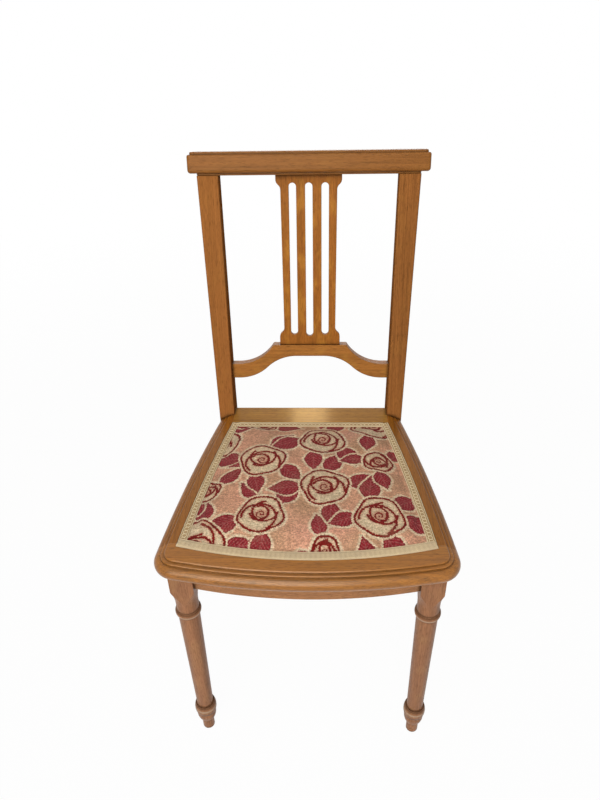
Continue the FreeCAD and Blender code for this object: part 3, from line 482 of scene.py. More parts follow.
class SeatPlan:
    """The seat opening seen from above: a bowed front, bowed sides and a straight rear."""

    def __init__(self, seat):
        low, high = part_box("seat_cover")
        gap = 0.0003
        rim_rise = 0.002
        self.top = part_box("seat_frame_rear")[1].z
        self.floor = low.z
        self.rim = self.floor + rim_rise
        self.rear = high.y + gap
        self.front = low.y - gap
        half = seat.front_width / 2
        self.corner_y = self.front + seat.front_bow
        self.front_radius = (half ** 2 + seat.front_bow ** 2) / (2 * seat.front_bow)
        self.front_centre = self.front + self.front_radius
        chord = Vector((seat.rear_width / 2 - half, self.rear - self.corner_y))
        self.side_radius = ((chord.length / 2) ** 2 + seat.side_bow ** 2) / (2 * seat.side_bow)
        inward = Vector((-chord.y, chord.x)).normalized()
        middle = Vector((half, self.corner_y)) + chord / 2
        self.side_centre = middle + inward * (self.side_radius - seat.side_bow)
        self.middle_y = (self.front + self.rear) / 2

    def side(self, y, inset=0.0):
        """Half width of the opening at a depth, drawn in by a distance."""
        radius = self.side_radius - inset
        return self.side_centre.x + np.sqrt(radius ** 2 - (y - self.side_centre.y) ** 2)

    def bow(self, x, inset=0.0):
        """Front edge of the opening at a place across the seat, drawn in by a distance."""
        return self.front_centre - np.sqrt((self.front_radius - inset) ** 2 - x ** 2)

    def grid(self, columns, rows, insets):
        """Points that fill the opening, row by row from the front, drawn in at front, side and rear."""
        front, side, rear = insets
        across = np.linspace(-1, 1, columns + 1)[None, :]
        depth = np.linspace(0, 1, rows + 1)[:, None]
        rear_y = self.rear - rear
        level = (self.corner_y + front) * (1 - depth) + rear_y * depth
        x = across * self.side(level, side)
        y = self.bow(x, front) * (1 - depth) + rear_y * depth
        return x, y

    def edge_distance(self, x, y, insets):
        """Distance from a point to the nearest edge of the drawn-in opening."""
        front, side, rear = insets
        from_side = np.hypot(np.abs(x) - self.side_centre.x, y - self.side_centre.y)
        to_side = self.side_radius - side - from_side
        to_front = self.front_radius - front - np.hypot(x, y - self.front_centre)
        return np.minimum(np.minimum(to_side, to_front), self.rear - rear - y)


def new_object(name, points=(), faces=(), edges=()):
    """Mesh object, linked into the scene."""
    mesh = bpy.data.meshes.new(name)
    mesh.from_pydata(points, edges, faces)
    made = bpy.data.objects.new(name, mesh)
    bpy.context.scene.collection.objects.link(made)
    return made


def as_plain_mesh(made):
    """Turns an object with modifiers into its finished mesh."""
    bpy.context.view_layer.update()
    graph = bpy.context.evaluated_depsgraph_get()
    mesh = bpy.data.meshes.new_from_object(made.evaluated_get(graph))
    old = made.data
    made.modifiers.clear()
    made.data = mesh
    bpy.data.meshes.remove(old)
    mesh.name = made.name
    return mesh


def coordinates(mesh):
    """Points of a mesh, one in each row."""
    flat = np.empty(len(mesh.vertices) * 3)
    mesh.vertices.foreach_get("co", flat)
    return flat.reshape(-1, 3)


def outward(mesh):
    """Merges doubles and points all faces outwards."""
    work = bmesh.new()
    work.from_mesh(mesh)
    bmesh.ops.remove_doubles(work, verts=work.verts, dist=1e-6)
    bmesh.ops.recalc_face_normals(work, faces=work.faces)
    work.to_mesh(mesh)
    work.free()


def grid_shell(x, y, top, bottom):
    """Closed shell between two heights over a grid of plan points, and its number of top faces."""
    rows, columns = x.shape
    upper = np.stack([x, y, np.broadcast_to(top, x.shape)], axis=-1).reshape(-1, 3)
    index = np.arange(rows * columns).reshape(rows, columns)
    corners = [index[:-1, :-1], index[:-1, 1:], index[1:, 1:], index[1:, :-1]]
    quads = np.stack(corners, axis=-1).reshape(-1, 4)
    ring = np.concatenate([index[0, :-1], index[:-1, -1], index[-1, :0:-1], index[:0:-1, 0]])
    lower = upper[ring].copy()
    lower[:, 2] = bottom
    foot = np.arange(len(ring)) + len(upper)
    walls = np.stack([np.roll(ring, -1), ring, foot, np.roll(foot, -1)], axis=-1)
    faces = quads.tolist() + walls.tolist() + [foot[::-1].tolist()]
    return np.concatenate([upper, lower]).tolist(), faces, len(quads)


def crown_height(plan, seat, x, y, insets, lower=0.0):
    """Height of the stuffed seat: sloping sides that roll over into a shallow dome."""
    steepness = 0.8
    roll = 0.003
    dome = plan.rim + seat.crown - (x ** 2 + (y - plan.middle_y) ** 2) / (2 * seat.crown_radius)
    slope = plan.rim + np.maximum(plan.edge_distance(x, y, insets), 0) * steepness
    blend = np.clip(0.5 + 0.5 * (slope - dome) / roll, 0, 1)
    smooth = slope * (1 - blend) + dome * blend - roll * blend * (1 - blend)
    return np.maximum(smooth - lower, plan.rim)


def stuffed_surface(plan, seat, insets):
    """Lets the stuffing swell a slightly smaller pad as cloth, and gives the surface."""
    columns, rows = 68, 60
    smaller, lower, lift, held_height = 0.0008, 0.0025, 0.0004, 0.003
    frames = 20
    x, y = plan.grid(columns, rows, [inset + smaller for inset in insets])
    top = crown_height(plan, seat, x, y, insets, lower)
    points, faces, _ = grid_shell(x, y, top, plan.floor + lift)
    pad = new_object("stuffed_pad", points, faces)
    remesh = pad.modifiers.new("Even cloth", "REMESH")
    remesh.mode = "VOXEL"
    remesh.voxel_size = 0.005
    start = coordinates(as_plain_mesh(pad))
    held = pad.vertex_groups.new(name="held")
    held.add(np.nonzero(start[:, 2] < plan.floor + held_height)[0].tolist(), 1.0, "REPLACE")
    cloth = pad.modifiers.new("Stuffing", "CLOTH").settings
    cloth.vertex_group_mass = "held"
    cloth.use_pressure = True
    cloth.uniform_pressure_force = 4.0
    cloth.effector_weights.gravity = 0.0
    scene = bpy.context.scene
    for moment in range(1, frames + 1):
        scene.frame_set(moment)
    mesh = as_plain_mesh(pad)
    scene.frame_set(1)
    move = coordinates(mesh) - start
    reach = np.linalg.norm(move, axis=1, keepdims=True)
    capped = start + move * np.minimum(1.0, seat.swell / np.maximum(reach, 1e-9))
    polygons = [list(polygon.vertices) for polygon in mesh.polygons]
    surface = BVHTree.FromPolygons(capped.tolist(), polygons)
    bpy.data.objects.remove(pad)
    bpy.data.meshes.remove(mesh)
    return surface


def draped_height(plan, surface, x, y):
    """Heights of the simulated pad under a grid of points, evened out over neighbouring threads."""
    passes = 14
    above = plan.top + 0.1
    heights = np.full(x.shape, plan.rim)
    down = Vector((0, 0, -1))
    for place in np.ndindex(x.shape):
        hit = surface.ray_cast(Vector((x[place], y[place], above)), down)[0]
        if hit is not None:
            heights[place] = max(plan.rim, hit.z)
    for _ in range(passes):
        padded = np.pad(heights, 1, mode="edge")
        heights = (padded[:-2, 1:-1] + padded[2:, 1:-1] + padded[1:-1, :-2] + padded[1:-1, 2:]
                   + 2 * heights) / 6
    return heights


def rose_layout(seed):
    """Half-drop repeat of full roses and buds: place, radius, turn and leaves, in millimetres."""
    column_pitch, row_pitch, stray, shift = 92.0, 116.0, 8, 20.0
    chance = np.random.default_rng(seed)
    flowers = []
    for column in range(-3, 4):
        for row in range(-3, 4):
            if (column + 2 * row) % 3 != 1:
                radii, sizes, steps = (33, 46), (46, 58), (0.0, 1.25, 2.7, 4.3)
            else:
                radii, sizes, steps = (20, 26), (40, 50), (0.0, 1.5, 3.6)
            drop = row_pitch / 2 if column % 2 else 0.0
            x = column * column_pitch + chance.uniform(-stray, stray) + shift
            y = row * row_pitch + drop + chance.uniform(-stray, stray) - shift
            radius = chance.uniform(*radii)
            turn = chance.uniform(0, FULL_TURN)
            first = chance.uniform(0, FULL_TURN)
            leaves = [(first + step + chance.uniform(-0.2, 0.2), chance.uniform(*sizes),
                       chance.uniform(-0.6, 0.6)) for step in steps]
            flowers.append((x, y, radius, turn, leaves))
    return flowers


def leaf_shape(x, y, base, angle, size):
    """Signed depth inside a toothed leaf, and its vein mask."""
    u = (x - base[0]) * math.cos(angle) + (y - base[1]) * math.sin(angle)
    v = -(x - base[0]) * math.sin(angle) + (y - base[1]) * math.cos(angle)
    share = np.clip(u / size, 0.0, 1.0)
    half = 0.29 * size * np.sin(math.pi * share ** 0.8) ** 1.15
    tooth = 0.9 * np.abs((u / 5.0) % 1.0 - 0.5)
    depth = np.minimum(half + tooth - np.abs(v), np.minimum(u, size - u) * 1.4)
    rib = np.abs(v) < 0.7
    side_ribs = np.abs(((u - 1.1 * np.abs(v)) / 6.4) % 1.0 - 0.5) < 0.13
    return depth, rib | side_ribs


def rose_shape(x, y, radius, turn):
    """Depth inside a rose, its distance from drawn lines, and the mask of its heart."""
    no_line = 99.0
    petals = ((0.74, 0.20, 0.6, 0.55), (0.55, 0.22, 3.4, 0.7), (0.40, 0.10, 5.2, 0.8))
    reach = np.hypot(x, y)
    angle = np.arctan2(y, x) - turn
    rim = radius * (1.0 + 0.05 * np.cos(3 * angle) + 0.035 * np.cos(5 * angle + 1.0))
    lines = np.abs(reach - rim + 1.6)
    for share, shift, way, cut in petals:
        along = np.cos(angle - way) * reach - radius * shift
        aside = np.sin(angle - way) * reach
        out = np.hypot(along, aside)
        lines = np.minimum(lines, np.where(along < cut * out, np.abs(out - radius * share), no_line))
    coil = (reach / (0.17 * radius) - angle / FULL_TURN) % 1.0
    heart = reach < 0.27 * radius
    lines = np.where(heart, np.where(coil < 0.4, 0.0, no_line), lines)
    return rim - reach, lines, heart


def woven_flowers(seat, x, y, seed):
    """Colour of each thread crossing: roses and leaves with pale rims on a mottled ground."""
    chance = np.random.default_rng(seed)
    rows, columns = x.shape
    jitter = chance.normal(0, 0.45, (rows, 1)) + chance.normal(0, 0.25, (rows, columns))
    px = x * 1000 + jitter
    py = y * 1000 + chance.normal(0, 0.35, (rows, columns))
    waves = np.sin(px / 23 + 1.7 * np.sin(py / 31)) + np.sin(py / 17 + 2.1 * np.sin(px / 41 + 1))
    mottle = waves / 4 + 0.5
    tones = {name: np.array(getattr(seat, name)) for name in
             ("ground", "halo", "bloom", "blush", "line", "leaf", "vein")}
    picture = tones["ground"] * (0.80 + 0.30 * mottle[..., None])
    picture[..., 1] *= 1.08 - 0.16 * mottle

    def paint(mask, name, strength=1.0, shade=1.0):
        picture[mask] = picture[mask] * (1 - strength) + tones[name] * shade * strength

    leaves, roses = [], []
    for fx, fy, radius, turn, fronds in rose_layout(seed):
        stem = radius * 0.92
        for angle, size, lean in fronds:
            base = (fx + stem * math.cos(angle), fy + stem * math.sin(angle))
            leaves.append(leaf_shape(px, py, base, angle + lean, size))
        roses.append(rose_shape(px - fx, py - fy, radius, turn))
    nearest = np.max([depth for depth, *_ in leaves + roses], axis=0)
    paint(nearest > -4.8, "halo", 0.6)
    for depth, veins in leaves:
        paint(depth > -3.2, "halo")
        paint(depth > 0, "leaf", shade=0.86)
        paint(depth > 1.4, "leaf")
        paint((depth > 1.6) & veins, "vein", 0.6)
    for depth, lines, heart in roses:
        paint(depth > -3.4, "halo")
        paint(depth > 0, "bloom")
        paint((depth > 0) & (lines < 4.2), "blush", 0.25)
        paint((depth > 0) & (lines < 2.6), "blush", 0.45)
        paint((depth > 0) & heart, "blush", 0.7)
        paint((depth > -0.6) & (lines < 1.8), "line")
    grey = chance.normal(1.0, 0.15, (rows, columns, 1)) * chance.normal(1.0, 0.04, (rows, 1, 1))
    return np.clip(picture * grey, 0.0, 1.0)


def set_corner_colours(mesh, tops, picture):
    """Stores one colour for every face, the rest in the first face's colour."""
    rest = np.repeat(picture[:1], len(mesh.polygons) - tops, axis=0)
    by_face = np.concatenate([picture, rest])
    totals = np.empty(len(mesh.polygons), dtype=np.int32)
    mesh.polygons.foreach_get("loop_total", totals)
    corners = np.repeat(by_face, totals, axis=0)
    corners = np.concatenate([corners, np.ones((len(corners), 1))], axis=1)
    layer = mesh.attributes.new("motif", "FLOAT_COLOR", "CORNER")
    layer.data.foreach_set("color", corners.astype(np.float32).ravel())


def new_group(name, inputs, output):
    """Geometry group with its sockets, the tree of its nodes, and the values that it is given."""
    group = bpy.data.node_groups.new(name, "GeometryNodeTree")
    for socket, kind in inputs.items():
        group.interface.new_socket(socket, in_out="INPUT", socket_type="NodeSocket" + kind)
    group.interface.new_socket(output, in_out="OUTPUT", socket_type="NodeSocketGeometry")
    tree = Tree(group)
    return group, tree, {socket: tree.node("NodeGroupInput", out=socket) for socket in inputs}


def braid_tree():
    """Braid along a path: a tape with rounded edges, a cord along each side and a row of loops."""
    sizes = ("Width", "Thickness", "Cord", "Pitch", "Loop Length", "Loop Width")
    inputs = {"Path": "Geometry", **dict.fromkeys(sizes, "Float"),
              "Tape Finish": "Material", "Finish": "Material"}
    group, tree, given = new_group("gimp_braid", inputs, "Braid")

    def circle(resolution, radius):
        return tree.node("CurvePrimitiveCircle", {"Resolution": resolution, "Radius": radius},
                         mode="RADIUS")

    def swept(line, section, capped):
        return tree.node("CurveToMesh", {"Curve": line, "Profile Curve": section, "Fill Caps": capped})

    line = tree.node("MeshToCurve", {"Mesh": given["Path"]})
    line = tree.node("SetCurveNormal", {"Curve": line}, mode="Z_UP")
    run = tree.node("SplineParameter", out="Length")
    line = tree.node("StoreNamedAttribute", {"Geometry": line, "Name": "along", "Value": run},
                     data_type="FLOAT", domain="POINT")
    heading = tree.node("InputTangent")
    sideways = tree.node("ShaderNodeVectorMath", {0: heading, 1: (0, 0, 1)}, operation="CROSS_PRODUCT")
    section = tree.node("CurvePrimitiveQuadrilateral",
                        {"Width": given["Width"], "Height": given["Thickness"]}, mode="RECTANGLE")
    section = tree.node("FilletCurve", {"Curve": section, "Radius": given["Thickness"] * 0.4,
                                        "Count": 3}, mode="POLY")
    tape = swept(line, section, True)
    up = tree.node("ShaderNodeCombineXYZ", {"Z": given["Thickness"] * 0.5})
    pieces = []
    for side in (1.0, -1.0):
        offset = (given["Width"] * 0.5 - given["Cord"]) * side
        out = tree.node("ShaderNodeVectorMath", {0: sideways, "Scale": offset}, operation="SCALE")
        out = tree.node("ShaderNodeVectorMath", {0: out, 1: up}, operation="ADD")
        moved = tree.node("SetPosition", {"Geometry": line, "Offset": out})
        pieces.append(swept(moved, circle(7, given["Cord"]), True))
    stops = tree.node("ResampleCurve", {"Curve": line, "Length": given["Pitch"]}, mode="LENGTH")
    stops = tree.node("SetPosition", {"Geometry": stops, "Offset": up})
    scale = tree.node("ShaderNodeCombineXYZ",
                      {"X": given["Loop Length"], "Y": given["Loop Width"], "Z": 1.0})
    ring = tree.node("Transform", {"Geometry": circle(10, 1.0), "Scale": scale})
    ring = swept(ring, circle(4, given["Cord"] * 0.95), False)
    turned = tree.node("FunctionNodeAlignRotationToVector", {"Vector": heading}, axis="X")
    pieces.append(tree.node("InstanceOnPoints",
                            {"Points": stops, "Instance": ring, "Rotation": turned}))
    threads = tree.node("JoinGeometry", {"Geometry": pieces})
    threads = tree.node("RealizeInstances", {"Geometry": threads})
    threads = tree.node("SetMaterial", {"Geometry": threads, "Material": given["Finish"]})
    tape = tree.node("SetMaterial", {"Geometry": tape, "Material": given["Tape Finish"]})
    joined = tree.node("JoinGeometry", {"Geometry": [threads, tape]})
    tree.node("NodeGroupOutput", {"Braid": tree.node("SetShadeSmooth", {"Geometry": joined})})
    return group


def screw_tree():
    """A screw head at every point, looking along the point's aim."""
    inputs = {"Places": "Geometry", "Head": "Object", "Finish": "Material"}
    group, tree, given = new_group("screw_heads", inputs, "Screws")
    head = tree.node("ObjectInfo", {"Object": given["Head"]}, out="Geometry")
    points = tree.node("MeshToPoints", {"Mesh": given["Places"]})
    aim = tree.node("InputNamedAttribute", {"Name": "aim"}, data_type="FLOAT_VECTOR")
    spin = tree.node("FunctionNodeRandomValue", {2: 0.0, 3: math.pi, "Seed": 4}, out=1,
                     data_type="FLOAT")
    spin = tree.node("FunctionNodeAxisAngleToRotation", {"Axis": (0, 0, 1), "Angle": spin})
    turned = tree.node("FunctionNodeAlignRotationToVector", {"Vector": aim}, axis="Z")
    spun = tree.node("FunctionNodeRotateRotation", {"Rotation": turned, "Rotate By": spin},
                     rotation_space="LOCAL")
    set_in = tree.node("InstanceOnPoints", {"Points": points, "Instance": head, "Rotation": spun})
    real = tree.node("RealizeInstances", {"Geometry": set_in})
    finished = tree.node("SetMaterial", {"Geometry": real, "Material": given["Finish"]})
    tree.node("NodeGroupOutput", {"Screws": finished})
    return group


def grow(made, group, values):
    """Runs a geometry group on an object, its inputs given by name, and keeps the finished mesh."""
    modifier = made.modifiers.new(group.name, "NODES")
    modifier.node_group = group
    for item in group.interface.items_tree:
        if item.in_out == "INPUT" and item.name in values:
            modifier[item.identifier] = values[item.name]
    outward(as_plain_mesh(made))


def slotted_head(radius, rise):
    """Slotted screw head: a low disc with two halves on it."""
    turns, half_turns = 18, 8
    slot = radius * 0.16
    step = rise * 0.45
    work = bmesh.new()

    def prism(outline, low, high, draw_in):
        foot = [work.verts.new((x, y, low)) for x, y in outline]
        crown = [work.verts.new((x * draw_in, y * draw_in, high)) for x, y in outline]
        work.faces.new(crown)
        work.faces.new(foot[::-1])
        for k in range(len(outline)):
            after = (k + 1) % len(outline)
            work.faces.new([foot[k], foot[after], crown[after], crown[k]])

    def arc(angles, side=1):
        return [(radius * math.cos(a), side * radius * math.sin(a)) for a in angles]

    prism(arc([FULL_TURN * k / turns for k in range(turns)]), 0.0, step, 1.0)
    start = math.asin(slot / radius)
    angles = [start + (math.pi - 2 * start) * k / half_turns for k in range(half_turns + 1)]
    prism(arc(angles), step, rise, 0.86)
    prism(arc(angles, -1)[::-1], step, rise, 0.86)
    made = new_object("screw_head")
    work.to_mesh(made.data)
    work.free()
    return made


def strap_mesh(line, sideways):
    """Woven strap as a closed strip along points of a line, with its own map along and across."""
    segments = 12
    way = np.array(line)
    spread = np.linspace(-0.5, 0.5, segments + 1) * STRAP_WIDTH
    loop = [(s, 0.0) for s in spread] + [(s, STRAP_THICKNESS) for s in spread[::-1]]
    rings = np.array([[p + np.array(sideways) * s + np.array((0, 0, h)) for s, h in loop] for p in way])
    index = np.arange(len(way) * len(loop)).reshape(len(way), len(loop))
    after = np.roll(index, -1, axis=1)
    walls = np.stack([index[:-1], after[:-1], after[1:], index[1:]], axis=-1).reshape(-1, 4)
    faces = walls.tolist() + [index[0].tolist(), index[-1, ::-1].tolist()]
    run = np.concatenate([[0], np.cumsum(np.linalg.norm(np.diff(way, axis=0), axis=1))])
    places = [(far, s + STRAP_WIDTH / 2) for far in run for s, _ in loop]
    return rings.reshape(-1, 3).tolist(), faces, places


def strap_line(start, end, crossings, over_first, level):
    """Points of a strap along one axis that goes over and under the straps it crosses."""
    flat = STRAP_WIDTH / 2 + STRAP_THICKNESS
    slope, step = 0.010, 0.002
    runs = np.arange(start, end + step / 4, step)
    runs[-1] = end
    rise = np.zeros_like(runs)
    for order, place in enumerate(crossings):
        if (order % 2 == 0) == over_first:
            off = np.abs(runs - place)
            share = np.clip((flat + slope - off) / slope, 0, 1)
            rise = np.maximum(rise, share * share * (3 - 2 * share))
    return [(run, level + STRAP_THICKNESS * lift) for run, lift in zip(runs, rise)]


def give(node, finish):
    """Puts a finish on all faces of a piece."""
    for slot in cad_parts[node].material_slots:
        slot.material = finish


class CHAIR_OT_wood(bpy.types.Operator):
    """Varnishes the wooden pieces, each with its own grain, and finishes the glue blocks"""
    bl_idname = "chair.wood"
    bl_label = "Varnish Wood"

    def execute(self, context):
        wood = context.scene.chair_wood
        for seed, (node, (along, tone, *looks)) in enumerate(VARNISHED.items(), start=1):
            finish = wood_finish("wood_" + node, wood, tuple(getattr(wood, tone)), along, seed, *looks)
            give(node, finish)
        sawn = plain_wood_finish("plain_wood", tuple(wood.plain))
        for node in PLAIN:
            give(node, sawn)
        return {"FINISHED"}


class CHAIR_OT_seat(bpy.types.Operator):
    """Makes the stuffed seat with its woven cover"""
    bl_idname = "chair.seat"
    bl_label = "Upholster Seat"

    def execute(self, context):
        seat = context.scene.chair_seat
        braid = context.scene.chair_braid
        gap, lift, shoulder, dent = 0.0008, 0.0001, 0.012, 0.0004
        plan = SeatPlan(seat)
        insets = (braid.front_width, braid.side_width, braid.rear_width)
        columns = round(seat.front_width / seat.thread)
        rows = round((plan.rear - plan.front) / seat.thread)
        x, y = plan.grid(columns, rows, (gap, gap, gap))
        heights = draped_height(plan, stuffed_surface(plan, seat, insets), x, y)
        inside = np.clip(plan.edge_distance(x, y, insets) / shoulder, 0, 1)
        waves = np.sin(x * 95 + 2 * np.sin(y * 60)) + np.sin(y * 120 + x * 70)
        points, faces, tops = grid_shell(x, y, heights + inside * dent * waves, plan.floor + lift)
        made = new_object("seat_upholstery", points, faces)
        middle = [(grid[:-1, :-1] + grid[1:, 1:]) / 2 for grid in (x, y - plan.middle_y)]
        picture = woven_flowers(seat, *middle, seed=11)
        set_corner_colours(made.data, tops, picture.reshape(-1, 3))
        made.data.materials.append(cover_finish(seat))
        made.data.shade_smooth()
        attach(made, "root")
        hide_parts("seat_cover", "seat_stuffing")
        return {"FINISHED"}


def lay_braid(place, line, width, tape, thread, pattern, tree, thickness):
    """Lays the gimp along one line."""
    edges = [(k, k + 1) for k in range(len(line) - 1)]
    made = new_object("braid_" + place, line, edges=edges)
    cord, pitch, loop_length, loop_share = pattern
    grow(made, tree, {"Width": width, "Thickness": thickness, "Cord": cord, "Pitch": pitch,
                      "Loop Length": loop_length, "Loop Width": width * loop_share,
                      "Tape Finish": tape, "Finish": thread})
    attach(made, "root")
    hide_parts("gimp_" + place)


class CHAIR_OT_gimp(bpy.types.Operator):
    """Lays the gimp round the cover: a plain tape in front and braids at the sides and rear"""
    bl_idname = "chair.gimp"
    bl_label = "Lay Gimp"

    def execute(self, context):
        braid = context.scene.chair_braid
        plan = SeatPlan(context.scene.chair_seat)
        tree = braid_tree()
        straw = tuple(braid.straw)
        shadow = tuple(braid.shade)
        # Shaded and lit copies of one gimp: the ground under the loops is painted darker as shade, and
        # the loops' thread slightly lighter as a highlight
        tape = braid_finish("gimp_tape", straw, shadow, rib=0.0011)
        plait = braid_finish("gimp_thread", tuned(straw, 1.08), shadow, rib=0.0012)
        ground = braid_finish("gimp_ground", tuned(shadow, 1.1), tuned(shadow, 0.6), rib=0.0016)
        gap, end_gap, front_lift = 0.0004, 0.001, 0.0004
        front_count, side_count, rear_count = 120, 110, 80
        front, side, rear = [width / 2 + gap for width in
                             (braid.front_width, braid.side_width, braid.rear_width)]
        corner = plan.corner_y + front
        end = plan.side(corner, gap) - end_gap
        rear_y = plan.rear - rear
        rear_end = plan.side(rear_y, side) - braid.side_width / 2
        rise = plan.rim + braid.thickness / 2
        front_line = [(x, plan.bow(x, front), rise + front_lift)
                      for x in np.linspace(-end, end, front_count)]
        right_line = [(plan.side(y, side), y, rise)
                      for y in np.linspace(corner, plan.rear - gap, side_count)]
        left_line = [(-x, y, z) for x, y, z in right_line]
        rear_line = [(x, rear_y, rise) for x in np.linspace(-rear_end, rear_end, rear_count)]
        # Radius of the cord, distance and length of the loops, and their share of the width
        ribs = (braid.cord * 0.6, 0.0013, 0.0003, 0.42)
        loops = (braid.cord, braid.pitch, braid.pitch * 0.52, 0.27)
        runs = {
            "front": (front_line, braid.front_width, tape, tape, ribs),
            "left": (left_line, braid.side_width, ground, plait, loops),
            "right": (right_line, braid.side_width, ground, plait, loops),
            "rear": (rear_line, braid.rear_width, ground, plait, loops),
        }
        for place, run in runs.items():
            lay_braid(place, *run, tree, braid.thickness)
        return {"FINISHED"}


def lay_straps(node, straps, finish):
    """Joins straps that run the same way into one piece."""
    points, faces, places, lengths = [], [], [], []
    for strap_points, strap_faces, strap_places in straps:
        first = len(points)
        points += strap_points
        faces += [[first + corner for corner in face] for face in strap_faces]
        places += strap_places
        lengths.append(max(place[0] for place in strap_places))
    made = new_object(node.replace("webbing", "straps"), points, faces)
    mesh = made.data
    layer = mesh.uv_layers.new(name="strap")
    corners = np.empty(len(mesh.loops), dtype=np.int32)
    mesh.loops.foreach_get("vertex_index", corners)
    layer.data.foreach_set("uv", np.array(places)[corners].astype(np.float32).ravel())
    mesh.materials.append(finish)
    outward(mesh)
    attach(made, "root")
    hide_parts(node)


class CHAIR_OT_webbing(bpy.types.Operator):
    """Stretches the jute webbing across the seat frame, over and under"""
    bl_idname = "chair.webbing"
    bl_label = "Stretch Webbing"

    def execute(self, context):
        plan = SeatPlan(context.scene.chair_seat)
        across = [STRAP_SPACING[0] * order for order in (-1, 0, 1)]
        along = [plan.middle_y + STRAP_SPACING[1] * order for order in (-1, 0, 1)]
        finish = webbing_finish()
        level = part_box("webbing_front_to_back")[0].z
        deep, wide = [], []
        for order, x in enumerate(across):
            start = plan.bow(abs(x) + STRAP_WIDTH / 2) + STRAP_GAP
            line = strap_line(start, plan.rear - STRAP_GAP, along, order % 2 == 0, level)
            deep.append(strap_mesh([(x, y, z) for y, z in line], (-1.0, 0.0, 0.0)))
        for order, y in enumerate(along):
            reach = plan.side(y + STRAP_WIDTH / 2) - STRAP_GAP
            line = strap_line(-reach, reach, across, order % 2 == 1, level)
            wide.append(strap_mesh([(x, y, z) for x, z in line], (0.0, 1.0, 0.0)))
        for node, straps in (("webbing_front_to_back", deep), ("webbing_side_to_side", wide)):
            lay_straps(node, straps, finish)
        return {"FINISHED"}


class CHAIR_OT_hessian(bpy.types.Operator):
    """Lays the hessian over the webbing"""
    bl_idname = "chair.hessian"
    bl_label = "Lay Hessian"

    def execute(self, context):
        columns, rows, gap, ripple, lift, drop = 96, 84, 0.001, 0.00012, 0.0001, 0.0003
        plan = SeatPlan(context.scene.chair_seat)
        low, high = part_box("hessian")
        x, y = plan.grid(columns, rows, (gap, gap, gap))
        sag = ripple * (np.sin(x * 210) + np.sin(y * 190))
        points, faces, tops = grid_shell(x, y, high.z - drop + sag, low.z + lift)
        made = new_object("hessian_sheet", points, faces)
        made.data.materials.append(hessian_finish())
        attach(made, "root")
        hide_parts("hessian")
        return {"FINISHED"}


def long_face(block):
    """Middle and outward direction of a glue block's slanting face."""
    facing, middle, whole = Vector(), Vector(), 0.0
    for face in block.data.polygons:
        normal = face.normal
        if abs(normal.z) < 0.2 and min(abs(normal.x), abs(normal.y)) > 0.3:
            facing += normal * face.area
            middle += face.center * face.area
            whole += face.area
    if not whole:
        raise RuntimeError("No slanting face on " + block.name)
    return middle / whole, facing.normalized()


class CHAIR_OT_screws(bpy.types.Operator):
    """Drives two slotted screws into each glue block"""
    bl_idname = "chair.screws"
    bl_label = "Drive Screws"

    def execute(self, context):
        spread = 0.011
        places, aims = [], []
        for node in PLAIN:
            place, aim = long_face(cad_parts[node])
            run = aim.cross(Vector((0, 0, 1))).normalized()
            for step in (-spread, spread):
                places.append(list(place + run * step))
                aims += list(aim)
        made = new_object("block_screws", places)
        layer = made.data.attributes.new("aim", "FLOAT_VECTOR", "POINT")
        layer.data.foreach_set("vector", aims)
        head = slotted_head(radius=0.0042, rise=0.0012)
        grow(made, screw_tree(), {"Head": head, "Finish": steel_finish()})
        bpy.data.objects.remove(head)
        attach(made, "root")
        return {"FINISHED"}


def lay_floor(stage):
    """Floor that takes shadows near the chair and fades to white far from it."""
    reach, near, far, glow_near = 30.0, 0.9, 2.6, 0.97
    material, tree, place = new_finish("studio_floor")
    plain = tree.node("BsdfDiffuse", {"Color": (*stage.floor, 1.0)})
    glow = tree.node("Emission", {"Color": (1, 1, 1, 1), "Strength": 1.0})
    distance = tree.node("VectorMath", {0: place}, out="Value", operation="LENGTH")
    lit = tree.white_rays() * (glow_near + tree.ramp(distance, near, far) * (1 - glow_near))
    mixed = tree.node("MixShader", {0: lit, 1: plain, 2: glow})
    tree.node("OutputMaterial", {"Surface": mixed})
    corners = [(-reach, -reach, 0), (reach, -reach, 0), (reach, reach, 0), (-reach, reach, 0)]
    floor = new_object("studio_floor", corners, [(0, 1, 2, 3)])
    floor.data.materials.append(material)


def light_sky(scene, stage):
    """Even light from all round that is seen as plain white."""
    world = bpy.data.worlds.new("studio_sky")
    world.use_nodes = True
    world.node_tree.nodes.clear()
    tree = Tree(world.node_tree)
    soft, white = [tree.node("Background", {"Color": (1, 1, 1, 1), "Strength": strength})
                   for strength in (stage.sky, 1.0)]
    mixed = tree.node("MixShader", {0: tree.white_rays(), 1: soft, 2: white})
    tree.node("OutputWorld", {"Surface": mixed})
    scene.world = world


def hang_lamp(name, power, size, place, target, tone=(1, 1, 1)):
    """Square lamp that shines from a place onto a target."""
    lamp = bpy.data.lights.new(name, "AREA")
    lamp.energy = power
    lamp.size = size
    lamp.color = tone
    hung = bpy.data.objects.new(name, lamp)
    hung.location = place
    hung.rotation_euler = (Vector(target) - Vector(place)).to_track_quat("-Z", "Y").to_euler()
    bpy.context.scene.collection.objects.link(hung)


def place_camera(scene, stage):
    """Camera fitted to the photograph."""
    lens = bpy.data.cameras.new("photo_camera")
    lens.lens = stage.lens
    lens.sensor_width = 36.0
    lens.clip_start = 0.01
    camera = bpy.data.objects.new("photo_camera", lens)
    yaw = Matrix.Rotation(-stage.yaw, 4, "Z")
    pitch = Matrix.Rotation(QUARTER - stage.pitch, 4, "X")
    roll = Matrix.Rotation(-stage.roll, 4, "Z")
    camera.matrix_world = Matrix.Translation(stage.eye) @ yaw @ pitch @ roll
    scene.collection.objects.link(camera)
    scene.camera = camera


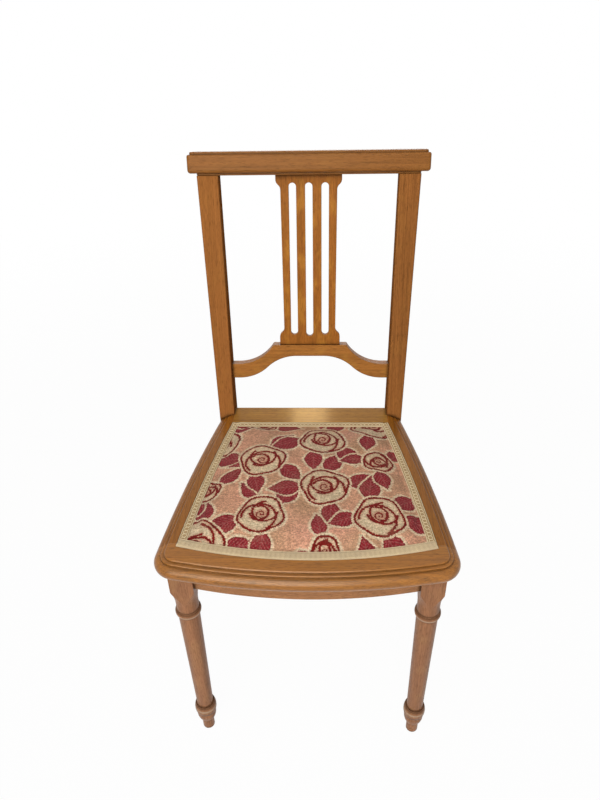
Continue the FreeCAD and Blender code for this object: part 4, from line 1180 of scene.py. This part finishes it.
class CHAIR_OT_stage(bpy.types.Operator):
    """Sets the floor, the light and the camera"""
    bl_idname = "chair.stage"
    bl_label = "Set Stage"

    def execute(self, context):
        stage = context.scene.chair_stage
        context.scene.view_settings.view_transform = "Standard"
        lay_floor(stage)
        light_sky(context.scene, stage)
        hang_lamp("key_light", stage.key, 1.8, (-0.5, -2.2, 1.9), (0.0, -0.1, 0.5))
        hang_lamp("fill_light", stage.fill, 1.4, (1.6, -1.6, 1.0), (0.0, 0.0, 0.5))
        hang_lamp("back_light", stage.back, 0.2, (-0.06, 2.3, 2.055), (0.0, 0.1, 0.45), stage.warm)
        hang_lamp("rear_light", stage.rear, 1.6, (0.0, 2.6, 0.9), (0.0, 0.2, 0.5))
        hang_lamp("top_light", stage.top, 1.1, (-0.2, -0.9, 2.6), (0.0, -0.1, 0.5))
        place_camera(context.scene, stage)
        return {"FINISHED"}


OPERATORS = (CHAIR_OT_wood, CHAIR_OT_webbing, CHAIR_OT_hessian, CHAIR_OT_seat, CHAIR_OT_gimp,
             CHAIR_OT_screws, CHAIR_OT_stage)
SETTINGS = {"chair_wood": ChairWood, "chair_seat": ChairSeat, "chair_braid": ChairBraid,
            "chair_stage": ChairStage}


class CHAIR_PT_panel(bpy.types.Panel):
    """Steps and settings of the chair"""
    bl_idname = "CHAIR_PT_panel"
    bl_label = "Dining Chair"
    bl_space_type = "VIEW_3D"
    bl_region_type = "UI"
    bl_category = "Chair"

    def draw(self, context):
        for operator in OPERATORS:
            self.layout.operator(operator.bl_idname)
        for name, kind in SETTINGS.items():
            box = self.layout.box()
            for key in kind.__annotations__:
                box.prop(getattr(context.scene, name), key)


def register():
    for kind in (*SETTINGS.values(), *OPERATORS, CHAIR_PT_panel):
        bpy.utils.register_class(kind)
    for name, kind in SETTINGS.items():
        setattr(bpy.types.Scene, name, bpy.props.PointerProperty(type=kind))


def unregister():
    for name in SETTINGS:
        delattr(bpy.types.Scene, name)
    for kind in (CHAIR_PT_panel, *reversed(OPERATORS), *SETTINGS.values()):
        bpy.utils.unregister_class(kind)


def main():
    register()
    bpy.ops.chair.wood()
    bpy.ops.chair.webbing()
    bpy.ops.chair.hessian()
    bpy.ops.chair.seat()
    bpy.ops.chair.gimp()
    bpy.ops.chair.screws()
    bpy.ops.chair.stage()


if __name__ == "__main__":
    main()
